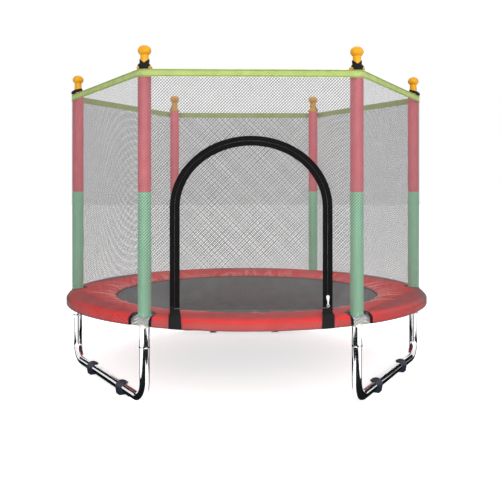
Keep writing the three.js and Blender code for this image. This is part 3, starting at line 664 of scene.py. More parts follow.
def leg_path(start_angle, stop_angle, top):
    start, stop = polar(POST_CIRCLE, start_angle), polar(POST_CIRCLE, stop_angle)
    across, span = (stop - start).normalized(), (stop - start).length
    half = [(0.0, top), (0.0, top - 0.0008)]
    half += [(0.0, z) for z in np.linspace(top - 0.003, LEG_BAR_Z + LEG_BEND, 9)]
    for turn in np.linspace(0, math.pi / 2, 17)[1:]:
        along, rise = 1 - math.cos(turn), 1 - math.sin(turn)
        half.append((LEG_BEND * along, LEG_BAR_Z + LEG_BEND * rise))
    whole = half + [(span - d, z) for d, z in reversed(half)]
    return [start + across * d + up(z) for d, z in whole]


def leg(name, start, stop):
    """A U of tube whose narrowed ends stand in the ring's sockets."""
    path = leg_path(start * SIXTH, stop * SIXTH, STUB_END - 0.0012)
    build = Build().add(*tube(path, TUBE_R, 40, scale=eased(len(path), 0.0008)))
    for end in (path[0], path[-1]):
        build.add(*tube([end + up(-0.004), end + up(0.042)], LEG_NECK_R, 24))
    build.piece(f"leg_tube_{name}", CHROME, "chromed_tube", sharp=50, replaces=f"leg_{name}")


def socket_sleeve(name, angle):
    """The chromed sleeve of the leg socket, from under the ring to its lower end."""
    top = RING_Z - TUBE_R - 0.001
    outer = TUBE_R + 0.00035
    profile = [(TUBE_R, STUB_END + 0.0003), (outer, STUB_END + 0.0008), (outer, top - 0.001)]
    sleeve_part = lathe([*profile, (TUBE_R, top)], 40)
    build = Build().add(*sleeve_part, Matrix.Translation(polar(POST_CIRCLE, angle)))
    build.piece(f"leg_socket_{name}", CHROME, "chromed_tube", sharp=12)


def clip_outline():
    """The C of a foot clip, square to the leg: x inward, y up, the leg's middle at 0."""
    mouth, half = math.radians(12), math.radians(75 / 2)
    upper, lower = mouth + half, mouth - half + 2 * math.pi
    sole, chamfer, lip = 0.018, 0.0006, CLIP_OUTER + 0.002

    def at(radius, turn):
        return radius * math.cos(turn), radius * math.sin(turn)

    points = [at(CLIP_OUTER, t) for t in np.linspace(upper, math.pi, 16)]
    points += [(-sole, -LEG_BAR_Z + chamfer), (-sole + chamfer, -LEG_BAR_Z)]
    points += [(sole - chamfer, -LEG_BAR_Z), (sole, -LEG_BAR_Z + chamfer)]
    points += [at(lip, lower), at(CLIP_INNER, lower)]
    points += [at(CLIP_INNER, t) for t in np.linspace(lower, upper, 32)[1:]]
    return points + [at(lip, upper)]


def foot_clip(name, number, outward):
    """A C-shaped clip with ribs on its back and a flat sole."""
    node = f"foot_clip_{name}_{number}"
    inward, bar = -polar(1, outward), polar(1, outward + math.pi / 2)
    leg_middle = polar(POST_CIRCLE * math.cos(SIXTH / 2), outward, LEG_BAR_Z)
    at = leg_middle + bar * (middle(node) - leg_middle).dot(bar)
    where = Matrix.Translation(at) @ Matrix((inward, up(1), bar)).transposed().to_4x4()
    rings = [[(x, y, z) for x, y in clip_outline()] for z in (-CLIP_LENGTH / 2, CLIP_LENGTH / 2)]
    Build().add(*loft(rings), where).piece(
        f"clip_{name}_{number}", CLIP_PLASTIC, "clip_plastic",
        sharp=30, replaces=node, bevel=(0.0008, 35),
    )
    ribs = Build()
    for z in (-0.010, 0.0, 0.010):
        turns = np.linspace(math.radians(58), math.pi * 1.05, 18)
        path = [polar(CLIP_OUTER, turn, z) for turn in turns]
        ribs.add(*tube(path, 0.0012, 8), where)
    ribs.piece(f"clip_ribs_{name}_{number}", CLIP_PLASTIC, "clip_plastic", sharp=40)


# ---- posts and caps ------------------------------------------------------------------------


def sleeve(name, angle, part, foot, top, material, slot):
    """A foam tube in a tight skin, with soft ends, a lengthwise seam and small dents."""
    steps, sides = 90, 56
    at = polar(POST_CIRCLE, angle)
    seed = angle * 3 + foot * 10
    soft = 0.004  # how far from an end it draws in
    rings = []
    for height in np.linspace(foot, top, steps + 1):
        near = min(height - foot, top - height)
        base = SLEEVE_R - 0.0004 - 0.0014 * max(0, 1 - near / soft) ** 2
        ring = []
        for turn in full_turn(sides):
            where = Vector((math.cos(turn) * 1.1, math.sin(turn) * 1.1, height * 9))
            dent = noise.noise(where + Vector((seed, 0, 0)))
            wrinkle = noise.noise(Vector((turn * 0.7, height * 55, seed)))
            seam = math.exp(-((math.remainder(turn - 1.9, 2 * math.pi)) / 0.06) ** 2)
            radius = base - 0.0006 * seam + 0.0005 * dent + 0.00016 * wrinkle
            ring.append(tuple(at + polar(radius, turn + angle, height)))
        rings.append(ring)
    for height in (top - 0.0005, foot + 0.0005):
        bore = [at + polar(SLEEVE_BORE, turn + angle, height) for turn in full_turn(sides)]
        rings.append([tuple(p) for p in bore])
    build = Build().add(*loft(rings, closed=True))
    node = f"{part}_sleeve_{name}"
    obj = build.piece(f"foam_{part}_{name}", material, slot, sharp=70, replaces=node)


CAP_BASE_R = 0.025
CAP_NECK_R = 0.0145
CAP_NECK_TOP_R = 0.0133
CAP_NECK_TOP = CAP_FOOT + 0.046
CAP_BORE_R, CAP_BORE_TOP = 0.0130, CAP_FOOT + 0.041
FILLET_OUT, FILLET_UP = 0.0075, 0.0085  # between the cap's base and its neck
BALL_R = 0.0215
BALL_HALF = 0.0175


def cap_profile():
    """(radius, height) from the foot of the cap to the top of its ball."""
    base = [(0.0015, 0), (0.0065, 0), (0.0085, 0.0015)]
    points = [(0.0135, CAP_FOOT + 0.0003), (CAP_BASE_R - 0.001, CAP_FOOT + 0.0003)]
    points += [(CAP_BASE_R - back, CAP_FOOT + rise) for rise, back in base]
    for turn in np.linspace(0, math.pi / 2, 7):
        out, rise = FILLET_OUT * (1 - math.sin(turn)), FILLET_UP * (1 - math.cos(turn))
        points.append((CAP_NECK_R + out, CAP_FOOT + 0.009 + rise))
    points.append((CAP_NECK_R - 0.0004, CAP_FOOT + 0.028))
    points.append((CAP_NECK_TOP_R, CAP_NECK_TOP - 0.004))
    ball = CAP_NECK_TOP + BALL_HALF * math.cos(math.asin(CAP_NECK_R / BALL_R))
    for turn in np.linspace(math.asin(CAP_NECK_TOP_R / BALL_R), math.pi, 25):
        points.append((BALL_R * math.sin(turn), ball - BALL_HALF * math.cos(turn)))
    return points


def cap(name, angle):
    profile = cap_profile() + [(0, CAP_BORE_TOP), (CAP_BORE_R, CAP_BORE_TOP)]
    build = Build().add(*lathe(profile, 64), Matrix.Translation(polar(POST_CIRCLE, angle)))
    node = f"post_cap_{name}"
    build.piece(f"ball_cap_{name}", AMBER, "amber_plastic", sharp=35, replaces=node)


def cap_radius(height):
    """How far the cap reaches at this height, below its ball."""
    radii, heights = zip(*[p for p in cap_profile() if p[1] < CAP_NECK_TOP - 0.004][1:])
    return float(np.interp(height, heights, radii))


def strap_radius(height):
    """How far a strap over the foam's end and the cap is from the middle of its post."""
    if height < -0.0015:
        return SLEEVE_R + 0.0001
    if height < 0.0005:
        step = (CAP_BASE_R - SLEEVE_R + 0.0004) * (height + 0.0015) / 0.002
        return SLEEVE_R + 0.0001 + step
    taut = np.interp(height, [0.0085, 0.0190], [CAP_BASE_R + 0.0002, CAP_NECK_R + 0.0004])
    rigid = cap_radius(CAP_FOOT + height) + 0.0004
    return float(max(rigid, taut if height > 0.0085 else 0))


def on_strap(at, turn, height, lift):
    """A point of a strap round the post at this place, this high above the cap's foot."""
    return tuple(at + polar(strap_radius(height) + lift, turn, CAP_FOOT + height))


LOOP_FACING = {"front_left": -90, "front_right": -90, "back_left": 120, "back_right": 60}
ELASTIC_THICK = 0.0011


def elastic_loop(name, angle):
    """The black elastic that ties the band to a cap."""
    at = polar(POST_CIRCLE, angle)
    build = Build()
    if name in LOOP_FACING:
        notched_patch(build, at, math.radians(LOOP_FACING[name]))
    else:
        slanted_loop(build, at, angle)
    build.piece(f"elastic_loop_{name}", ELASTIC, "band_webbing")


def notched_patch(build, at, facing):
    """A patch from the band up the cap's neck, notched like a V, and its tie round the neck."""
    heights = [-0.012, -0.0045, 0.004, 0.0075, 0.0105, 0.014, 0.019, 0.024, 0.031]
    half_turns = [33, 33, 34, 44, 62, 64, 72, 84, 88]
    columns, rows = 30, 40

    def corner(r, c):
        across = 2 * c / columns - 1
        top = heights[-1] - 0.0125 * max(0, 1 - abs(across) * 1.35)
        h = heights[0] + (top - heights[0]) * r / rows
        turn = facing + across * math.radians(float(np.interp(h, heights, half_turns)))
        fold = 0.00035 * math.sin(across * 11) * (0.002 < h < 0.02)
        return [on_strap(at, turn, h, lift + fold) for lift in (ELASTIC_THICK, 0.0)]

    build.add(*slab(rows + 1, columns + 1, corner))
    for first, last in [(80, 280)] if facing < 0 else [(78, 104), (-78, -104)]:
        turns = facing + np.linspace(math.radians(first), math.radians(last), 24)
        path = [at + polar(CAP_NECK_R + 0.0007, turn, CAP_FOOT + 0.0265) for turn in turns]
        build.add(*sweep(path, ribbon(-0.0005, 0.0006, 0.0035)))


def slanted_loop(build, at, angle):
    """A wide elastic round the cap's foot and neck, higher on its inner side, and its tail."""
    spans = np.linspace(0, 1, 8)
    section = [(v, 0.0013 + 0.0005 * math.sin(math.pi * v)) for v in spans]
    section += [(v, 0.0) for v in spans[::-1]]
    rings = []
    for turn in full_turn(72):
        foot = 0.0065 + 0.0042 * math.cos(turn - angle - math.pi)
        rings.append([
            on_strap(at, turn, foot + 0.0135 * v, lift + 0.0003 * math.sin(turn * 5 + v * 4))
            for v, lift in section
        ])
    build.add(*loft(rings, closed=True))
    facing = math.pi / 2 - math.copysign(1, math.cos(angle)) * math.radians(150)
    rows, columns = 14, 8

    def corner(r, c):
        turn = facing + math.radians(24) * (2 * c / columns - 1)
        return [on_strap(at, turn, -0.011 + 0.022 * r / rows, x) for x in (ELASTIC_THICK, 0.0)]

    build.add(*slab(rows + 1, columns + 1, corner))


# ---- pad -----------------------------------------------------------------------------------

PAD_PROFILE = [  # radius, and height from the crown
    (0.519, -0.0178), (0.522, -0.0152), (0.527, -0.0136), (0.545, -0.0092), (0.565, -0.0047),
    (0.595, -0.0014), (0.624, 0.0), (0.652, -0.0002), (0.672, -0.0012), (0.683, -0.0030),
    (0.692, -0.0065), (0.697, -0.0105), (0.700, -0.0160),
]
NOTCH_TURN = math.asin(NOTCH_HALF / NOTCH_MIDDLE)
RIDGES = 150
RIDGE_LENGTHS = {0.045: 0.25, 0.080: 0.3, 0.120: 0.25, 0.160: 0.2}  # and the share of each
CREASED = 27  # points of the pad's section, from its inner edge, that crease


def pad_top(radius):
    """Height of the pad's cover at this distance from the middle."""
    radii, drops = zip(*PAD_PROFILE)
    return PAD_CROWN + np.interp(radius, radii, drops)


def notch_radius(aside):
    """Where a line from the middle meets the end of a notch, this far round from its post."""
    reach = NOTCH_HALF**2 - (NOTCH_MIDDLE * math.sin(aside)) ** 2
    return NOTCH_MIDDLE * math.cos(aside) - math.sqrt(max(reach, 0))


def pad_section(limit, notched):
    """(radius, height) round the pad's section, from the inner edge over the top and back."""
    shoulder = limit - 0.004 if notched else PAD_OUT - 0.028
    points = [(r, float(pad_top(r))) for r in np.linspace(PAD_IN, shoulder, 30)]
    if notched:
        edge = [(0.002, 0.0006), (0.0006, 0.002), (0, 0.004), (0, 0.006), (0, 0.007)]
        edge += [(0.0008, 0.0085), (0.002, 0.0095), (0.006, 0.0098), (0.010, 0.0098)]
        top = float(pad_top(limit))
        points += [(limit - back, top - drop) for back, drop in [*edge, (0.014, 0.0098)]]
    else:
        points += [(PAD_OUT - x, float(pad_top(PAD_OUT - x))) for x in (0.017, 0.008, 0.003)]
        edge = [(0.0004, PAD_CROWN - 0.018), (0, PAD_FOOT + 0.004), (0.001, PAD_FOOT)]
        edge += [(0.0045, PAD_FOOT), (0.0055, PAD_FOOT + 0.004), (0.0055, PAD_UNDER - 0.007)]
        points += [(PAD_OUT - back, z) for back, z in [*edge, (0.0125, PAD_UNDER)]]
    inner = PAD_CROWN - PAD_DROP
    points += [(0.612, PAD_UNDER - 0.0035), (0.559, inner - 0.006), (0.540, inner - 0.008)]
    return points + [(PAD_IN + 0.002, inner - 0.0095)]


def gathers(turn, radius, ridges):
    """How far the cover stands up in the creases from its elastic inner edge, in metres."""
    total = 0.0
    for at, width, length, height, slant in ridges:
        share = (radius - PAD_IN) / length
        if share < 1:
            off = math.remainder(turn - at - slant * share, 2 * math.pi) / width
            total += height * math.exp(-off * off) * (1 - share) ** 1.3
    return total


def pad_cover():
    """The padded cover: a crowned ring with creases and a notch round every post."""
    rng = np.random.default_rng(11)
    lengths, shares = zip(*RIDGE_LENGTHS.items())
    ridges = []
    for k in range(RIDGES):
        at = 2 * math.pi * (k + rng.uniform(-0.35, 0.35)) / RIDGES
        length = rng.choice(lengths, p=shares)
        width, height = rng.uniform(0.0055, 0.0115), rng.uniform(0.0020, 0.0048)
        ridges.append((at, width, length, height, rng.uniform(-0.16, 0.16)))
    clear = 0.0004
    notch = np.linspace(-NOTCH_TURN + clear, NOTCH_TURN - clear, 25)
    plain = np.linspace(NOTCH_TURN + clear, SIXTH - NOTCH_TURN - clear, 330)
    columns = [(aside, True) for aside in notch] + [(aside, False) for aside in plain]
    rings, creases = [], []
    for index in range(6):
        for aside, notched in columns:
            turn = index * SIXTH + aside
            limit = notch_radius(aside) if notched else PAD_OUT
            near = [r for r in ridges if abs(math.remainder(turn - r[0], 2 * math.pi)) < 0.2]
            ring = []
            for k, (radius, height) in enumerate(pad_section(limit, notched)):
                stand = gathers(turn, radius, near) if k < CREASED else 0.0
                # How much painted highlight each point takes, by how far it stands up in a ridge.
                creases.append(min(1, max(0, stand - 0.0004) / 0.0012))
                if k < CREASED:
                    height += stand - 0.0016 * max(0, 1 - (radius - PAD_IN) / 0.05)
                    height += 0.0005 * noise.noise(Vector((turn * 30, radius * 40, 2.0)))
                if k == 0:
                    radius += 0.0026 * math.sin(turn * 37) + 0.0018 * math.sin(turn * 89 + 1)
                ring.append((radius * math.cos(turn), radius * math.sin(turn), height))
            rings.append(ring)
    build = Build().add(*loft(rings, closed=True))
    obj = build.piece("pad_cover", PAD_VINYL, "pad_vinyl", replaces="spring_pad")
    # The painted highlight mask, read by the pad's material.
    obj.data.attributes.new("crease", "FLOAT", "POINT").data.foreach_set("value", creases)


def notch_path(angle, half, sink):
    """Along the edge of a notch, from the foot of the skirt on one side to the other."""
    out = math.sqrt(PAD_OUT**2 - half**2)

    def on_top(u, t):
        return Vector((u, t, float(pad_top(math.hypot(u, t))) - sink))

    skirt = [(out + 0.0004, PAD_FOOT + 0.002), (out + 0.0004, PAD_FOOT + 0.012)]
    skirt.append((out, PAD_CROWN - 0.016 - sink * 0.5))
    side = [Vector((u, half, z)) for u, z in skirt]
    side += [on_top(out - back, half) for back in (0.003, 0.008, 0.014)]
    path = list(side)
    for turn in np.linspace(0, math.pi, 25):
        path.append(on_top(NOTCH_MIDDLE - half * math.sin(turn), half * math.cos(turn)))
    path += [Vector((p.x, -half, p.z)) for p in reversed(side)]
    return [Matrix.Rotation(angle, 3, "Z") @ p for p in path]


def notch_binding(name, angle):
    """The thick black binding round a notch."""
    build = Build().add(*tube(notch_path(angle, NOTCH_HALF - 0.0006, 0.0036), 0.0050, 14))
    build.piece(f"notch_binding_{name}", BINDING, "pad_vinyl")


def pad_rim():
    """The piping along the foot of the skirt and its seam, from notch to notch."""
    rim, seam = Build(), Build()
    margin = math.asin((NOTCH_HALF + 0.003) / PAD_OUT)
    for index in range(6):
        start, stop = index * SIXTH + margin, (index + 1) * SIXTH - margin
        rim.add(*tube(arc_path(PAD_OUT - 0.0012, start, stop, PAD_FOOT + 0.0021, 60), 0.0019, 8))
        path = arc_path(PAD_OUT + 0.0001, start, stop, PAD_FOOT + 0.0065, 60)
        stitches(seam, path, 0.003, 0.0045, 0.0006)
    rim.piece("pad_rim", HEM_VINYL, "pad_vinyl")
    seam.piece("pad_rim_stitches", RED_STITCH, "pad_vinyl")


# ---- mat, springs and post tubes -----------------------------------------------------------


def jumping_mat():
    """The woven mat, a little slack in its middle, with the webbing over its V-rings."""
    half, sag = MAT_THICKNESS / 2, 0.0016
    profile = []
    for r in np.linspace(0, MAT_RADIUS, 28):
        profile.append((r, RING_Z + half - sag * (1 - (r / MAT_RADIUS) ** 2)))
    profile += [(r, z - 0.0022) for r, z in reversed(profile)]
    build = Build().add(*lathe(profile, 160, closed=False))
    obj = build.piece("mat_cloth", MAT_CLOTH, "mat_weave", "mat", replaces="jumping_mat")
    top, bottom = RING_Z + half + 0.0007, RING_Z - half
    edge = [(WEBBING_IN, top - 0.0016), (WEBBING_IN + 0.0004, top)]
    edge += [(WEBBING_OUT - 0.0006, top), (WEBBING_OUT, top - 0.0008)]
    edge += [(WEBBING_OUT, bottom + 0.0008), (WEBBING_OUT - 0.0006, bottom)]
    edge += [(MAT_RADIUS + 0.0002, bottom), (MAT_RADIUS + 0.0002, top - 0.0016)]
    webbing = Build().add(*lathe(edge, 160))
    trim = webbing.piece("mat_webbing", MAT_WEBBING, "mat_weave", "mat", sharp=50)
    seams = Build()
    for radius in (WEBBING_IN + 0.003, WEBBING_OUT - 0.004):
        path = arc_path(radius, 0, 2 * math.pi, top + 0.0001, 360)
        stitches(seams, path, 0.004, 0.0062, 0.0008)
    seam = seams.piece("mat_stitches", STITCH, "mat_weave", "mat")


V_TIP = MAT_RADIUS + 0.0245
RING_INSIDE = POST_CIRCLE - TUBE_R
COIL_START, COIL_END = MAT_RADIUS + 0.031, RING_INSIDE - 0.019
COIL_R = 0.0050
WIRE_R = 0.0010
COIL_TURNS = (COIL_END - COIL_START) / (2.35 * WIRE_R)


def spring_angle(number):
    return (number - 0.5) * 2 * math.pi / SPRINGS


def v_rings():
    """The steel triangles that join the mat's webbing to its springs."""
    build = Build()
    inner, half = WEBBING_OUT - 0.004, 0.0085
    corners = [(inner, -half), (V_TIP - 0.0015, -0.0016), (V_TIP, 0)]
    corners += [(V_TIP - 0.0015, 0.0016), (inner, half)]
    for number in range(1, SPRINGS + 1):
        angle = spring_angle(number)
        out, side = polar(1, angle), polar(1, angle + math.pi / 2)
        path = [out * u + side * t + up(RING_Z) for u, t in corners]
        build.add(*tube(path, 0.0012, 8, closed=True))
    build.piece("v_rings", GALVANISED, "spring_steel", "mat", sharp=70)


def coil_spring(number):
    """One coil spring with a straight hook at either end, between its V-ring and the ring."""
    angle = spring_angle(number)
    out, side = polar(1, angle), polar(1, angle + math.pi / 2)
    steps = int(COIL_TURNS * 10)
    path = [out * (V_TIP - 0.0018), out * (V_TIP + 0.002)]
    for k in range(steps + 1):
        share = k / steps
        grow = max(0.02, min(1, share * COIL_TURNS * 1.5, (1 - share) * COIL_TURNS * 1.5))
        turn = 2 * math.pi * COIL_TURNS * share
        round_axis = (side * math.cos(turn) + up(math.sin(turn))) * COIL_R * grow
        path.append(out * (COIL_START + (COIL_END - COIL_START) * share) + round_axis)
    path += [out * (RING_INSIDE - 0.010), out * (RING_INSIDE - 0.0004)]
    build = Build().add(*tube([p + up(RING_Z) for p in path], WIRE_R, 5))
    bank, place = divmod(number - 1, SPRINGS // 6)
    obj = build.piece(
        f"coil_spring_{number:02d}", SPRING_STEEL, "spring_steel", None, sharp=80,
        replaces=None if place else f"spring_bank_{bank + 1}", outward=False,
    )
    start, end = (out * reach + up(RING_Z) for reach in (V_TIP + 0.001, RING_INSIDE - 0.004))
    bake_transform(obj)
    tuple(start)
    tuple(end)


def post_tube(name, angle):
    """The steel post inside the foam, open at both ends."""
    node = f"post_tube_{name}"
    foot, top = low(node).z, high(node).z
    outer, inner, chamfer = 0.0127, 0.0115, 0.0004
    profile = [(outer - chamfer, foot), (outer, foot + chamfer), (outer, top - chamfer)]
    profile += [(outer - chamfer, top), (inner, top), (inner, foot)]
    build = Build().add(*lathe(profile, 40), Matrix.Translation(polar(POST_CIRCLE, angle)))
    build.piece(f"post_pipe_{name}", GALVANISED, "post_steel", sharp=50, replaces=node)


def dark_reflection_pins(name, angle):
    """Three small black pins where a leg meets its socket, put where the chrome shows dark
    reflected spots: a painted reflection.
    """
    build = Build()
    at = polar(POST_CIRCLE, angle, STUB_END)
    for aside in (-68, 0, 68):
        out = polar(1, -math.pi / 2 + math.radians(aside))
        path = [at + out * (TUBE_R + lift) for lift in (-0.002, 0.0008, 0.0019, 0.0023)]
        build.add(*tube(path, 0.0036, 14, scale=[1, 1, 0.8, 0.35]))
    build.piece(f"dark_reflection_pins_{name}", ZIP_COIL, "chromed_tube")


# ---- net -----------------------------------------------------------------------------------

HANG = NET_TOP - NET_FOOT
SKIRT = float(pad_top(PAD_OUT)) + NET_LIFT - PAD_FOOT
NOTCH_SIDE = PAD_OUT * math.sin(SIXTH / 2 - math.asin(NOTCH_HALF / PAD_OUT))


def over_pad(side):
    """How far the pad reaches out past the net's plane, this far from the panel's middle."""
    side = np.minimum(np.abs(side), NET_STRAIGHT)
    edge = np.minimum(side, NOTCH_SIDE)
    reach = np.sqrt((PAD_OUT + NET_LIFT) ** 2 - edge**2) - NET_APOTHEM
    past = np.clip((side - NOTCH_SIDE) / (NET_STRAIGHT - NOTCH_SIDE), 0, 1)
    return reach * (1 - past) + 0.0008


def on_net(across, down, turn):
    """Points of the cloth and the way it faces, across from its middle and down from its top."""
    sign = np.sign(across)
    bend = np.clip(np.abs(across) - NET_STRAIGHT, 0, None) / NET_GAP
    side = sign * (np.minimum(np.abs(across), NET_STRAIGHT) + NET_GAP * np.sin(bend))
    out = NET_APOTHEM - NET_GAP + NET_GAP * np.cos(bend)
    past = np.clip(down - HANG, 0, None)
    reach = over_pad(side)
    lying = np.minimum(past, reach)
    drop = np.clip(past - reach, 0, None)
    rest = np.minimum(pad_top(np.hypot(side, out + lying)) + NET_LIFT, NET_FOOT)
    height = np.where(past > 0, rest - drop, NET_TOP - down)
    flat = (past > 0) & (past < reach)
    frame_axes = np.array([polar(1, turn), polar(1, turn + math.pi / 2), up(1)], float)
    points = np.stack([out + lying, side, height], 1) @ frame_axes
    facing = [np.where(flat, 0, np.cos(bend)), np.where(flat, 0, sign * np.sin(bend)), flat]
    return points, np.stack(facing, 1) @ frame_axes


def in_door(across, height, inset, sill):
    """True inside the doorway's outline, this far in from the outer edge of its tape."""
    half, crown = DOOR_HALF - inset, DOOR_CROWN - inset
    above = np.clip(height - DOOR_SPRING, 0, None)
    return (height > sill) & ((across / half) ** 2 + (above / crown) ** 2 < 1)


def threads(build, region, turn, skirted=True):
    """Diagonal threads of one panel, both ways, wherever region(across, height) is true."""
    step = 0.0025
    across = np.arange(-NET_HALF, NET_HALF + step / 2, step)
    longest = HANG + (over_pad(across) + SKIRT) * skirted
    for way in (1, -1):
        start = -NET_HALF
        while start < HANG + 0.15 + NET_HALF:
            down = start + way * across
            start += THREAD_PITCH * math.sqrt(2)
            inside = (down >= 0) & (down <= longest) & region(across, NET_TOP - down)
            edges = np.flatnonzero(np.diff(np.concatenate([[0], inside.astype(int), [0]])))
            for first, stop in zip(edges[::2], edges[1::2]):
                if stop - first < 3:
                    continue
                run = np.arange(first, stop)
                bends = (np.abs(across[run]) > NET_STRAIGHT - step) | (down[run] > HANG - 0.003)
                bends[[0, -1]] = True
                thread(build, across[run][bends], down[run][bends], way, turn)


def thread(build, across, down, way, turn):
    """One flat thread along the cloth."""
    points, faces = on_net(across, down, turn)
    along = np.gradient(points, axis=0)
    along /= np.linalg.norm(along, axis=1)[:, None] + 1e-12
    aside = np.cross(along, faces)
    aside /= np.linalg.norm(aside, axis=1)[:, None] + 1e-12
    line = points + faces * 0.0001 * way
    aside *= THREAD_WIDTHS[way] / 2
    build.add(*loft(np.stack([line + faces * THREAD_THICK, line + aside, line - aside], 1)))


def net_panel(name):
    front = name == "front"

    def region(across, height):
        if front:
            return ~in_door(across, height, TAPE_WIDTH * 0.5, DOOR_SILL - 0.004)
        return np.full(across.shape, True)

    build = Build()
    threads(build, region, math.radians(PANELS[name]))
    node = f"net_panel_{name}"
    obj = build.piece(f"net_{name}", THREAD, "net_cord", sharp=180, replaces=node, outward=False)


def door_flap():
    """The net inside the doorway, with a thin hem along the sill."""
    inset = 2 * TAPE_WIDTH + ZIP_GAP - 0.006
    build = Build()
    threads(build, lambda x, z: in_door(x, z, inset, DOOR_SILL), -math.pi / 2, skirted=False)
    obj = build.piece(
        "flap_net", THREAD, "net_cord", "door", sharp=180, replaces="door_flap", outward=False
    )
    half = DOOR_HALF - 2 * TAPE_WIDTH - ZIP_GAP
    path = [(x, -NET_APOTHEM, DOOR_SILL + 0.0016) for x in np.linspace(-half, half, 40)]
    hem = Build().add(*sweep(path, ribbon(-0.0006, 0.0006, 0.0015)))
    trim = hem.piece("flap_hem", NET_HEM, "net_cord", "door")


# ---- doorway -------------------------------------------------------------------------------


def arch_rows(bottom, inset):
    """(across, height) along the arch at this inset, up one side, over the top and down."""
    half, crown = DOOR_HALF - inset, DOOR_CROWN - inset
    rows = [(-half, z) for z in np.linspace(bottom, DOOR_SPRING, 30)[:-1]]
    for t in np.linspace(0, math.pi, 90):
        rows.append((-half * math.cos(t), DOOR_SPRING + crown * math.sin(t)))
    return rows + [(half, z) for z in np.linspace(DOOR_SPRING, bottom, 30)[1:]]


def arch_seam(build, inset, bottom, rise, length=0.0028, pitch=0.0042, width=0.0007):
    path = [(x, -(NET_APOTHEM + rise), z) for x, z in arch_rows(bottom, inset)]
    stitches(build, path, length, pitch, width)


TAPE_SECTION = {  # share of its width: share of its half thickness
    0: 0.55, 0.04: 0.95, 0.14: 1.0, 0.17: 0.7, 0.5: 0.8, 0.83: 0.7, 0.86: 1.0, 0.96: 0.95, 1: 0.55,
}


def tape(name, node, body, start, bottom, coil_inset):
    """One woven tape of the zip, with hemmed edges, two seams and the teeth on its free edge."""
    lines = [arch_rows(bottom, start + TAPE_WIDTH * share) for share in TAPE_SECTION]
    rises = [TAPE_HALF_THICK * share for share in TAPE_SECTION.values()]

    def corner(r, c):
        x, z = lines[c][r]
        return (x, -(NET_APOTHEM + rises[c]), z), (x, -(NET_APOTHEM - TAPE_HALF_THICK), z)

    build = Build().add(*slab(len(lines[0]), len(lines), corner))
    obj = build.piece(name, TAPE, "zip_tape", body, sharp=50, replaces=node)
    seams, teeth = Build(), Build()
    for share in (0.09, 0.91):
        arch_seam(seams, start + TAPE_WIDTH * share, bottom + 0.003, TAPE_HALF_THICK)
    trim = seams.piece(f"{name}_seams", STITCH, "zip_tape", body)
    arch_seam(teeth, coil_inset, bottom + 0.002, 0.0004, 0.0011, 0.0013, 0.0016)
    coil = teeth.piece(f"{name}_coil", ZIP_COIL, "zip_tape", body)


TAB_INNER_TOP, TAB_INNER_FOOT = DOOR_HALF - 0.031, DOOR_HALF - 0.042
TAB_OUTER = DOOR_HALF - 0.0002
TAB_LEVEL = PAD_CROWN + 0.0016  # where it lies on the pad
TAB_START = 0.0024  # how far out from the net it hangs
TAB_THICK = 0.0016
TAB_BEND = 0.006


def tab(side):
    """A flared tab of webbing: down the tape, out over the pad and down its skirt."""
    rows, columns = 46, 13

    def corner(r, c):
        share = r / (rows - 1)
        inner = TAB_INNER_TOP + (TAB_INNER_FOOT - TAB_INNER_TOP) * share**0.8
        column = (TAB_OUTER - inner) / (columns - 1)
        x = inner + (TAB_OUTER - inner) * (c / (columns - 1))
        edge = math.sqrt((PAD_OUT + 0.0014) ** 2 - x * x) - NET_APOTHEM
        # Beside the flap it ends below the sill, so that the flap opens over it.
        top = TAB_TOP if x > DOOR_HALF - TAPE_WIDTH + column else DOOR_SILL - 0.003
        y, z, facing = tab_point(share, top - TAB_LEVEL, edge)
        point = Vector((side * x, -(NET_APOTHEM + y), z))
        front = point + Vector((0, -facing[0], facing[1])) * TAB_THICK
        return tuple(front), tuple(point)

    label = "right" if side > 0 else "left"
    build = Build().add(*slab(rows, columns, corner))
    obj = build.piece(f"door_tab_{label}", TAB, "zip_tape", sharp=50, bevel=(0.0004, 60))
    seams = Build()
    upper = (DOOR_HALF - TAPE_WIDTH + 0.004, TAB_TOP - 0.0022)
    for first, z in (upper, (TAB_INNER_TOP + 0.002, DOOR_SILL - 0.0055)):
        across = np.linspace(first, TAB_OUTER - 0.002, 12)
        path = [(side * x, -(NET_APOTHEM + 0.0040), z) for x in across]
        stitches(seams, path, 0.0024, 0.0036, 0.0008)
    trim = seams.piece(f"door_tab_seams_{label}", STITCH, "zip_tape")


def tab_point(share, upright, edge):
    """(out, height) and the way it faces at this share of a tab, with its two bends rounded."""
    lying = edge - TAB_START
    gone = share * (upright + lying + TAB_LEVEL - PAD_FOOT)
    reach = TAB_BEND * 4 / math.pi
    corner = upright if gone < upright + TAB_BEND else upright + lying
    turn = (gone - corner + TAB_BEND) / (2 * TAB_BEND) * math.pi / 2
    sine, cosine = math.sin(turn), math.cos(turn)
    if gone < upright - TAB_BEND:
        return TAB_START, TAB_LEVEL + upright - gone, (1, 0)
    if gone < upright + TAB_BEND:
        return TAB_START + reach * (1 - cosine), TAB_LEVEL + reach * (1 - sine), (cosine, sine)
    if gone < upright + lying - TAB_BEND:
        return TAB_START + reach + (gone - upright - TAB_BEND), TAB_LEVEL, (0, 1)
    if gone < upright + lying + TAB_BEND:
        return edge - reach * (1 - sine), TAB_LEVEL - reach * (1 - cosine), (sine, cosine)
    return edge, TAB_LEVEL - (gone - upright - lying), (1, 0)


def across_y(outline, y):
    return [(x, y, z) for x, z in outline]


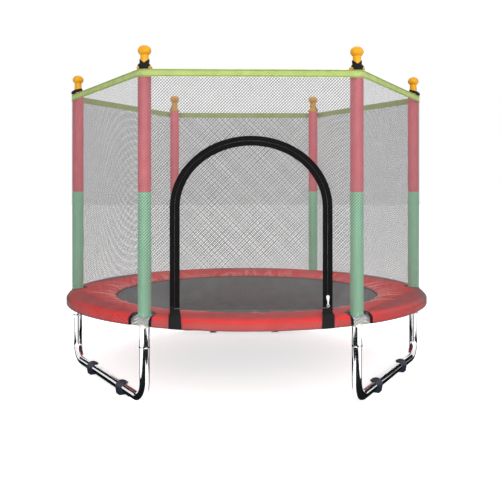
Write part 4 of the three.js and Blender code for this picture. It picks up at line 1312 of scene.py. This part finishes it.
def zip_slider():
    """The white slider: a rounded plate, wider at its top, with a bridge for the pull."""
    lowest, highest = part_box("zip_slider")
    x, z0, z1 = (lowest.x + highest.x) / 2, lowest.z, highest.z
    face, back = lowest.y, highest.y
    at_foot, at_top = 0.0040, 0.0058
    outline = []
    for turn in full_turn(40):
        sine, cosine = math.sin(turn), math.cos(turn)
        half = at_foot + (at_top - at_foot) * (1 + sine) / 2
        squash = math.copysign(abs(cosine) ** 0.75, cosine)
        lift = math.copysign(abs(sine) ** 0.85, sine)
        outline.append((x + half * squash, (z1 + z0) / 2 + (z1 - z0) / 2 * lift))
    Build().add(*loft([across_y(outline, back - 0.0026), across_y(outline, back)])).piece(
        "slider_body", WHITE_PLASTIC, "zip_metal", "zip_slider",
        sharp=40, replaces="zip_slider", bevel=(0.0006, 35),
    )
    path = [(back - 0.0022, z1 - 0.0030), (face + 0.0010, z1 - 0.0036)]
    path += [(face + 0.0007, (z0 + z1) / 2), (face + 0.0012, z0 + 0.0062)]
    path = np.array([*path, (back - 0.0022, z0 + 0.0052)])
    fine = np.linspace(0, len(path) - 1, 24)
    y, z = (np.interp(fine, range(len(path)), path[:, k]) for k in range(2))
    wire = circle(0.0014, 12) * [1.15, 0.5]
    bridge = Build().add(*sweep(np.stack([np.full(24, x), y, z], 1), wire))
    bridge.piece("slider_bridge", WHITE_PLASTIC, "zip_metal", "zip_slider")


def zip_pull():
    """The white pull: a flat waisted tag with a round hole in its foot."""
    lowest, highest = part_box("zip_pull")
    x, z0, z1 = (lowest.x + highest.x) / 2, lowest.z, highest.z
    wide, hole_r = (highest.x - lowest.x) / 2, 0.0029
    centre = z0 + wide
    outline, hole = [], []
    for turn in full_turn(48):
        sine, cosine = math.sin(turn), math.cos(turn)
        hole.append((x + hole_r * cosine, centre + hole_r * sine))
        if turn > math.pi:
            outline.append((x + wide * cosine, centre + wide * sine))
            continue
        waist = wide * (1 - 0.62 * math.sin(math.pi * min(1, sine * 1.25)) ** 1.2)
        half = waist * math.copysign(abs(cosine) ** 0.5, cosine)
        outline.append((x + half, centre + (z1 - centre) * sine**0.8))
    front, back = lowest.y, highest.y
    rings = [across_y(outline, front), across_y(outline, back)]
    rings += [across_y(hole, back), across_y(hole, front)]
    Build().add(*loft(rings, closed=True)).piece(
        "pull_tag", WHITE_PLASTIC, "zip_metal", "zip_pull",
        sharp=40, replaces="zip_pull", bevel=(0.0004, 35),
    )


# ---- band ----------------------------------------------------------------------------------


def hex_path(straight):
    """Plan of the net all the way round: rows of x, y on the net's line, and its facing."""
    rows = []
    for k in range(6):
        turn = (k + 0.5) * SIXTH
        ahead, beside = polar(1, turn), polar(1, turn + math.pi / 2)
        for s in np.linspace(-NET_STRAIGHT, NET_STRAIGHT, straight, endpoint=False):
            at = ahead * NET_APOTHEM + beside * s
            rows.append((at.x, at.y, ahead.x, ahead.y))
        post = polar(POST_CIRCLE, (k + 1) * SIXTH)
        for j in range(12):
            facing = polar(1, turn + SIXTH * j / 12)
            at = post + facing * NET_GAP
            rows.append((at.x, at.y, facing.x, facing.y))
    return np.array(rows)


def top_band():
    """The lime webbing round the top of the net, with an olive hem along both edges, and over each
    post a raised arc whose paler colour is a painted highlight on the band's fold.
    """
    foot, top = BAND_FOOT, BAND_TOP
    section = [(0.0002, foot), (0.0009, foot + 0.0004), (0.0009, foot + 0.0030)]
    section += [(0.0006, foot + 0.0034), (0.0007, (foot + top) / 2), (0.0006, top - 0.0034)]
    section += [(0.0009, top - 0.0030), (0.0009, top - 0.0004), (0.0002, top)]
    section += [(-0.0007, top - 0.0004), (-0.0007, foot + 0.0004)]
    rings = []
    for x, y, a, b in hex_path(24):
        sway = 0.0005 * noise.noise(Vector((x * 7, y * 7, 1.0)))
        rings.append([(x + out * a, y + out * b, z + sway) for out, z in section])
    build = Build().add(*loft(rings, closed=True))
    obj = build.piece("top_band", BAND, "band_webbing", sharp=50, replaces="net_top_band")
    path = hex_path(40)
    path = np.concatenate([path, path[:1]])
    seams, teeth, arcs = Build(), Build(), Build()
    for z in (foot + 0.0033, top - 0.0033):
        line = [(x + 0.0009 * a, y + 0.0009 * b, z) for x, y, a, b in path]
        stitches(seams, line, 0.0036, 0.0042, 0.0019)
    trim = seams.piece("band_seams", OLIVE, "band_webbing")
    gone = np.concatenate([[0], np.cumsum(np.hypot(*np.diff(path[:, :2], axis=0).T))])
    for at in np.arange(0.002, gone[-1], 0.0050):
        x, y, a, b = (np.interp(at, gone, path[:, k]) for k in range(4))
        lifts = (-0.0012, -0.0004, 0.0006)
        points = [(x + 0.0003 * a, y + 0.0003 * b, foot + lift) for lift in lifts]
        teeth.add(*tube(points, 0.0007, 4, scale=[0.5, 1, 1]))
    fringe = teeth.piece("band_overlock", OLIVE, "band_webbing")
    # A raised arc over each post, in a paler lime that paints the highlight on the band's fold.
    for index in range(6):
        arc = []
        for share in np.linspace(-1, 1, 20):
            out = polar(NET_GAP + 0.0011, index * SIXTH + share * 0.62)
            height = foot + 0.0155 - 0.0105 * share * share
            arc.append(polar(POST_CIRCLE, index * SIXTH) + out + up(height))
        arcs.add(*tube(arc, 0.0006, 6))
    arch = arcs.piece("band_arcs", FOLD_HIGHLIGHT_LIME, "band_webbing")


# ---- run -----------------------------------------------------------------------------------

make_camera()
make_studio()
for index, post in enumerate(POST_NAMES):
    post_angle = index * SIXTH
    ring_section(post, post_angle)
    socket_sleeve(post, post_angle)
    post_tube(post, post_angle)
    sleeve(post, post_angle, "lower", SLEEVE_FOOT, COLOUR_CHANGE, GREEN_FOAM, "green_foam")
    sleeve(post, post_angle, "upper", COLOUR_CHANGE + 0.0003, SLEEVE_TOP, RED_FOAM, "red_foam")
    cap(post, post_angle)
    elastic_loop(post, post_angle)
    notch_binding(post, post_angle)
    dark_reflection_pins(post, post_angle)
for side, (first, second) in LEGS.items():
    leg(side, first, second)
    for number in (1, 2):
        foot_clip(side, number, (first + second) / 2 * SIXTH)
pad_cover()
pad_rim()
jumping_mat()
v_rings()
for spring in range(1, SPRINGS + 1):
    coil_spring(spring)
top_band()
for panel in PANELS:
    net_panel(panel)
door_flap()
OUTER_BOTTOM, INNER_START = DOOR_SILL - 0.0025, TAPE_WIDTH + ZIP_GAP
tape("tape_outer", "zip_tape_outer", "frame", 0.0, OUTER_BOTTOM, TAPE_WIDTH + 0.0002)
tape("tape_inner", "zip_tape_inner", "door", INNER_START, DOOR_SILL, INNER_START - 0.0002)
tab(-1)
tab(1)
zip_slider()
zip_pull()
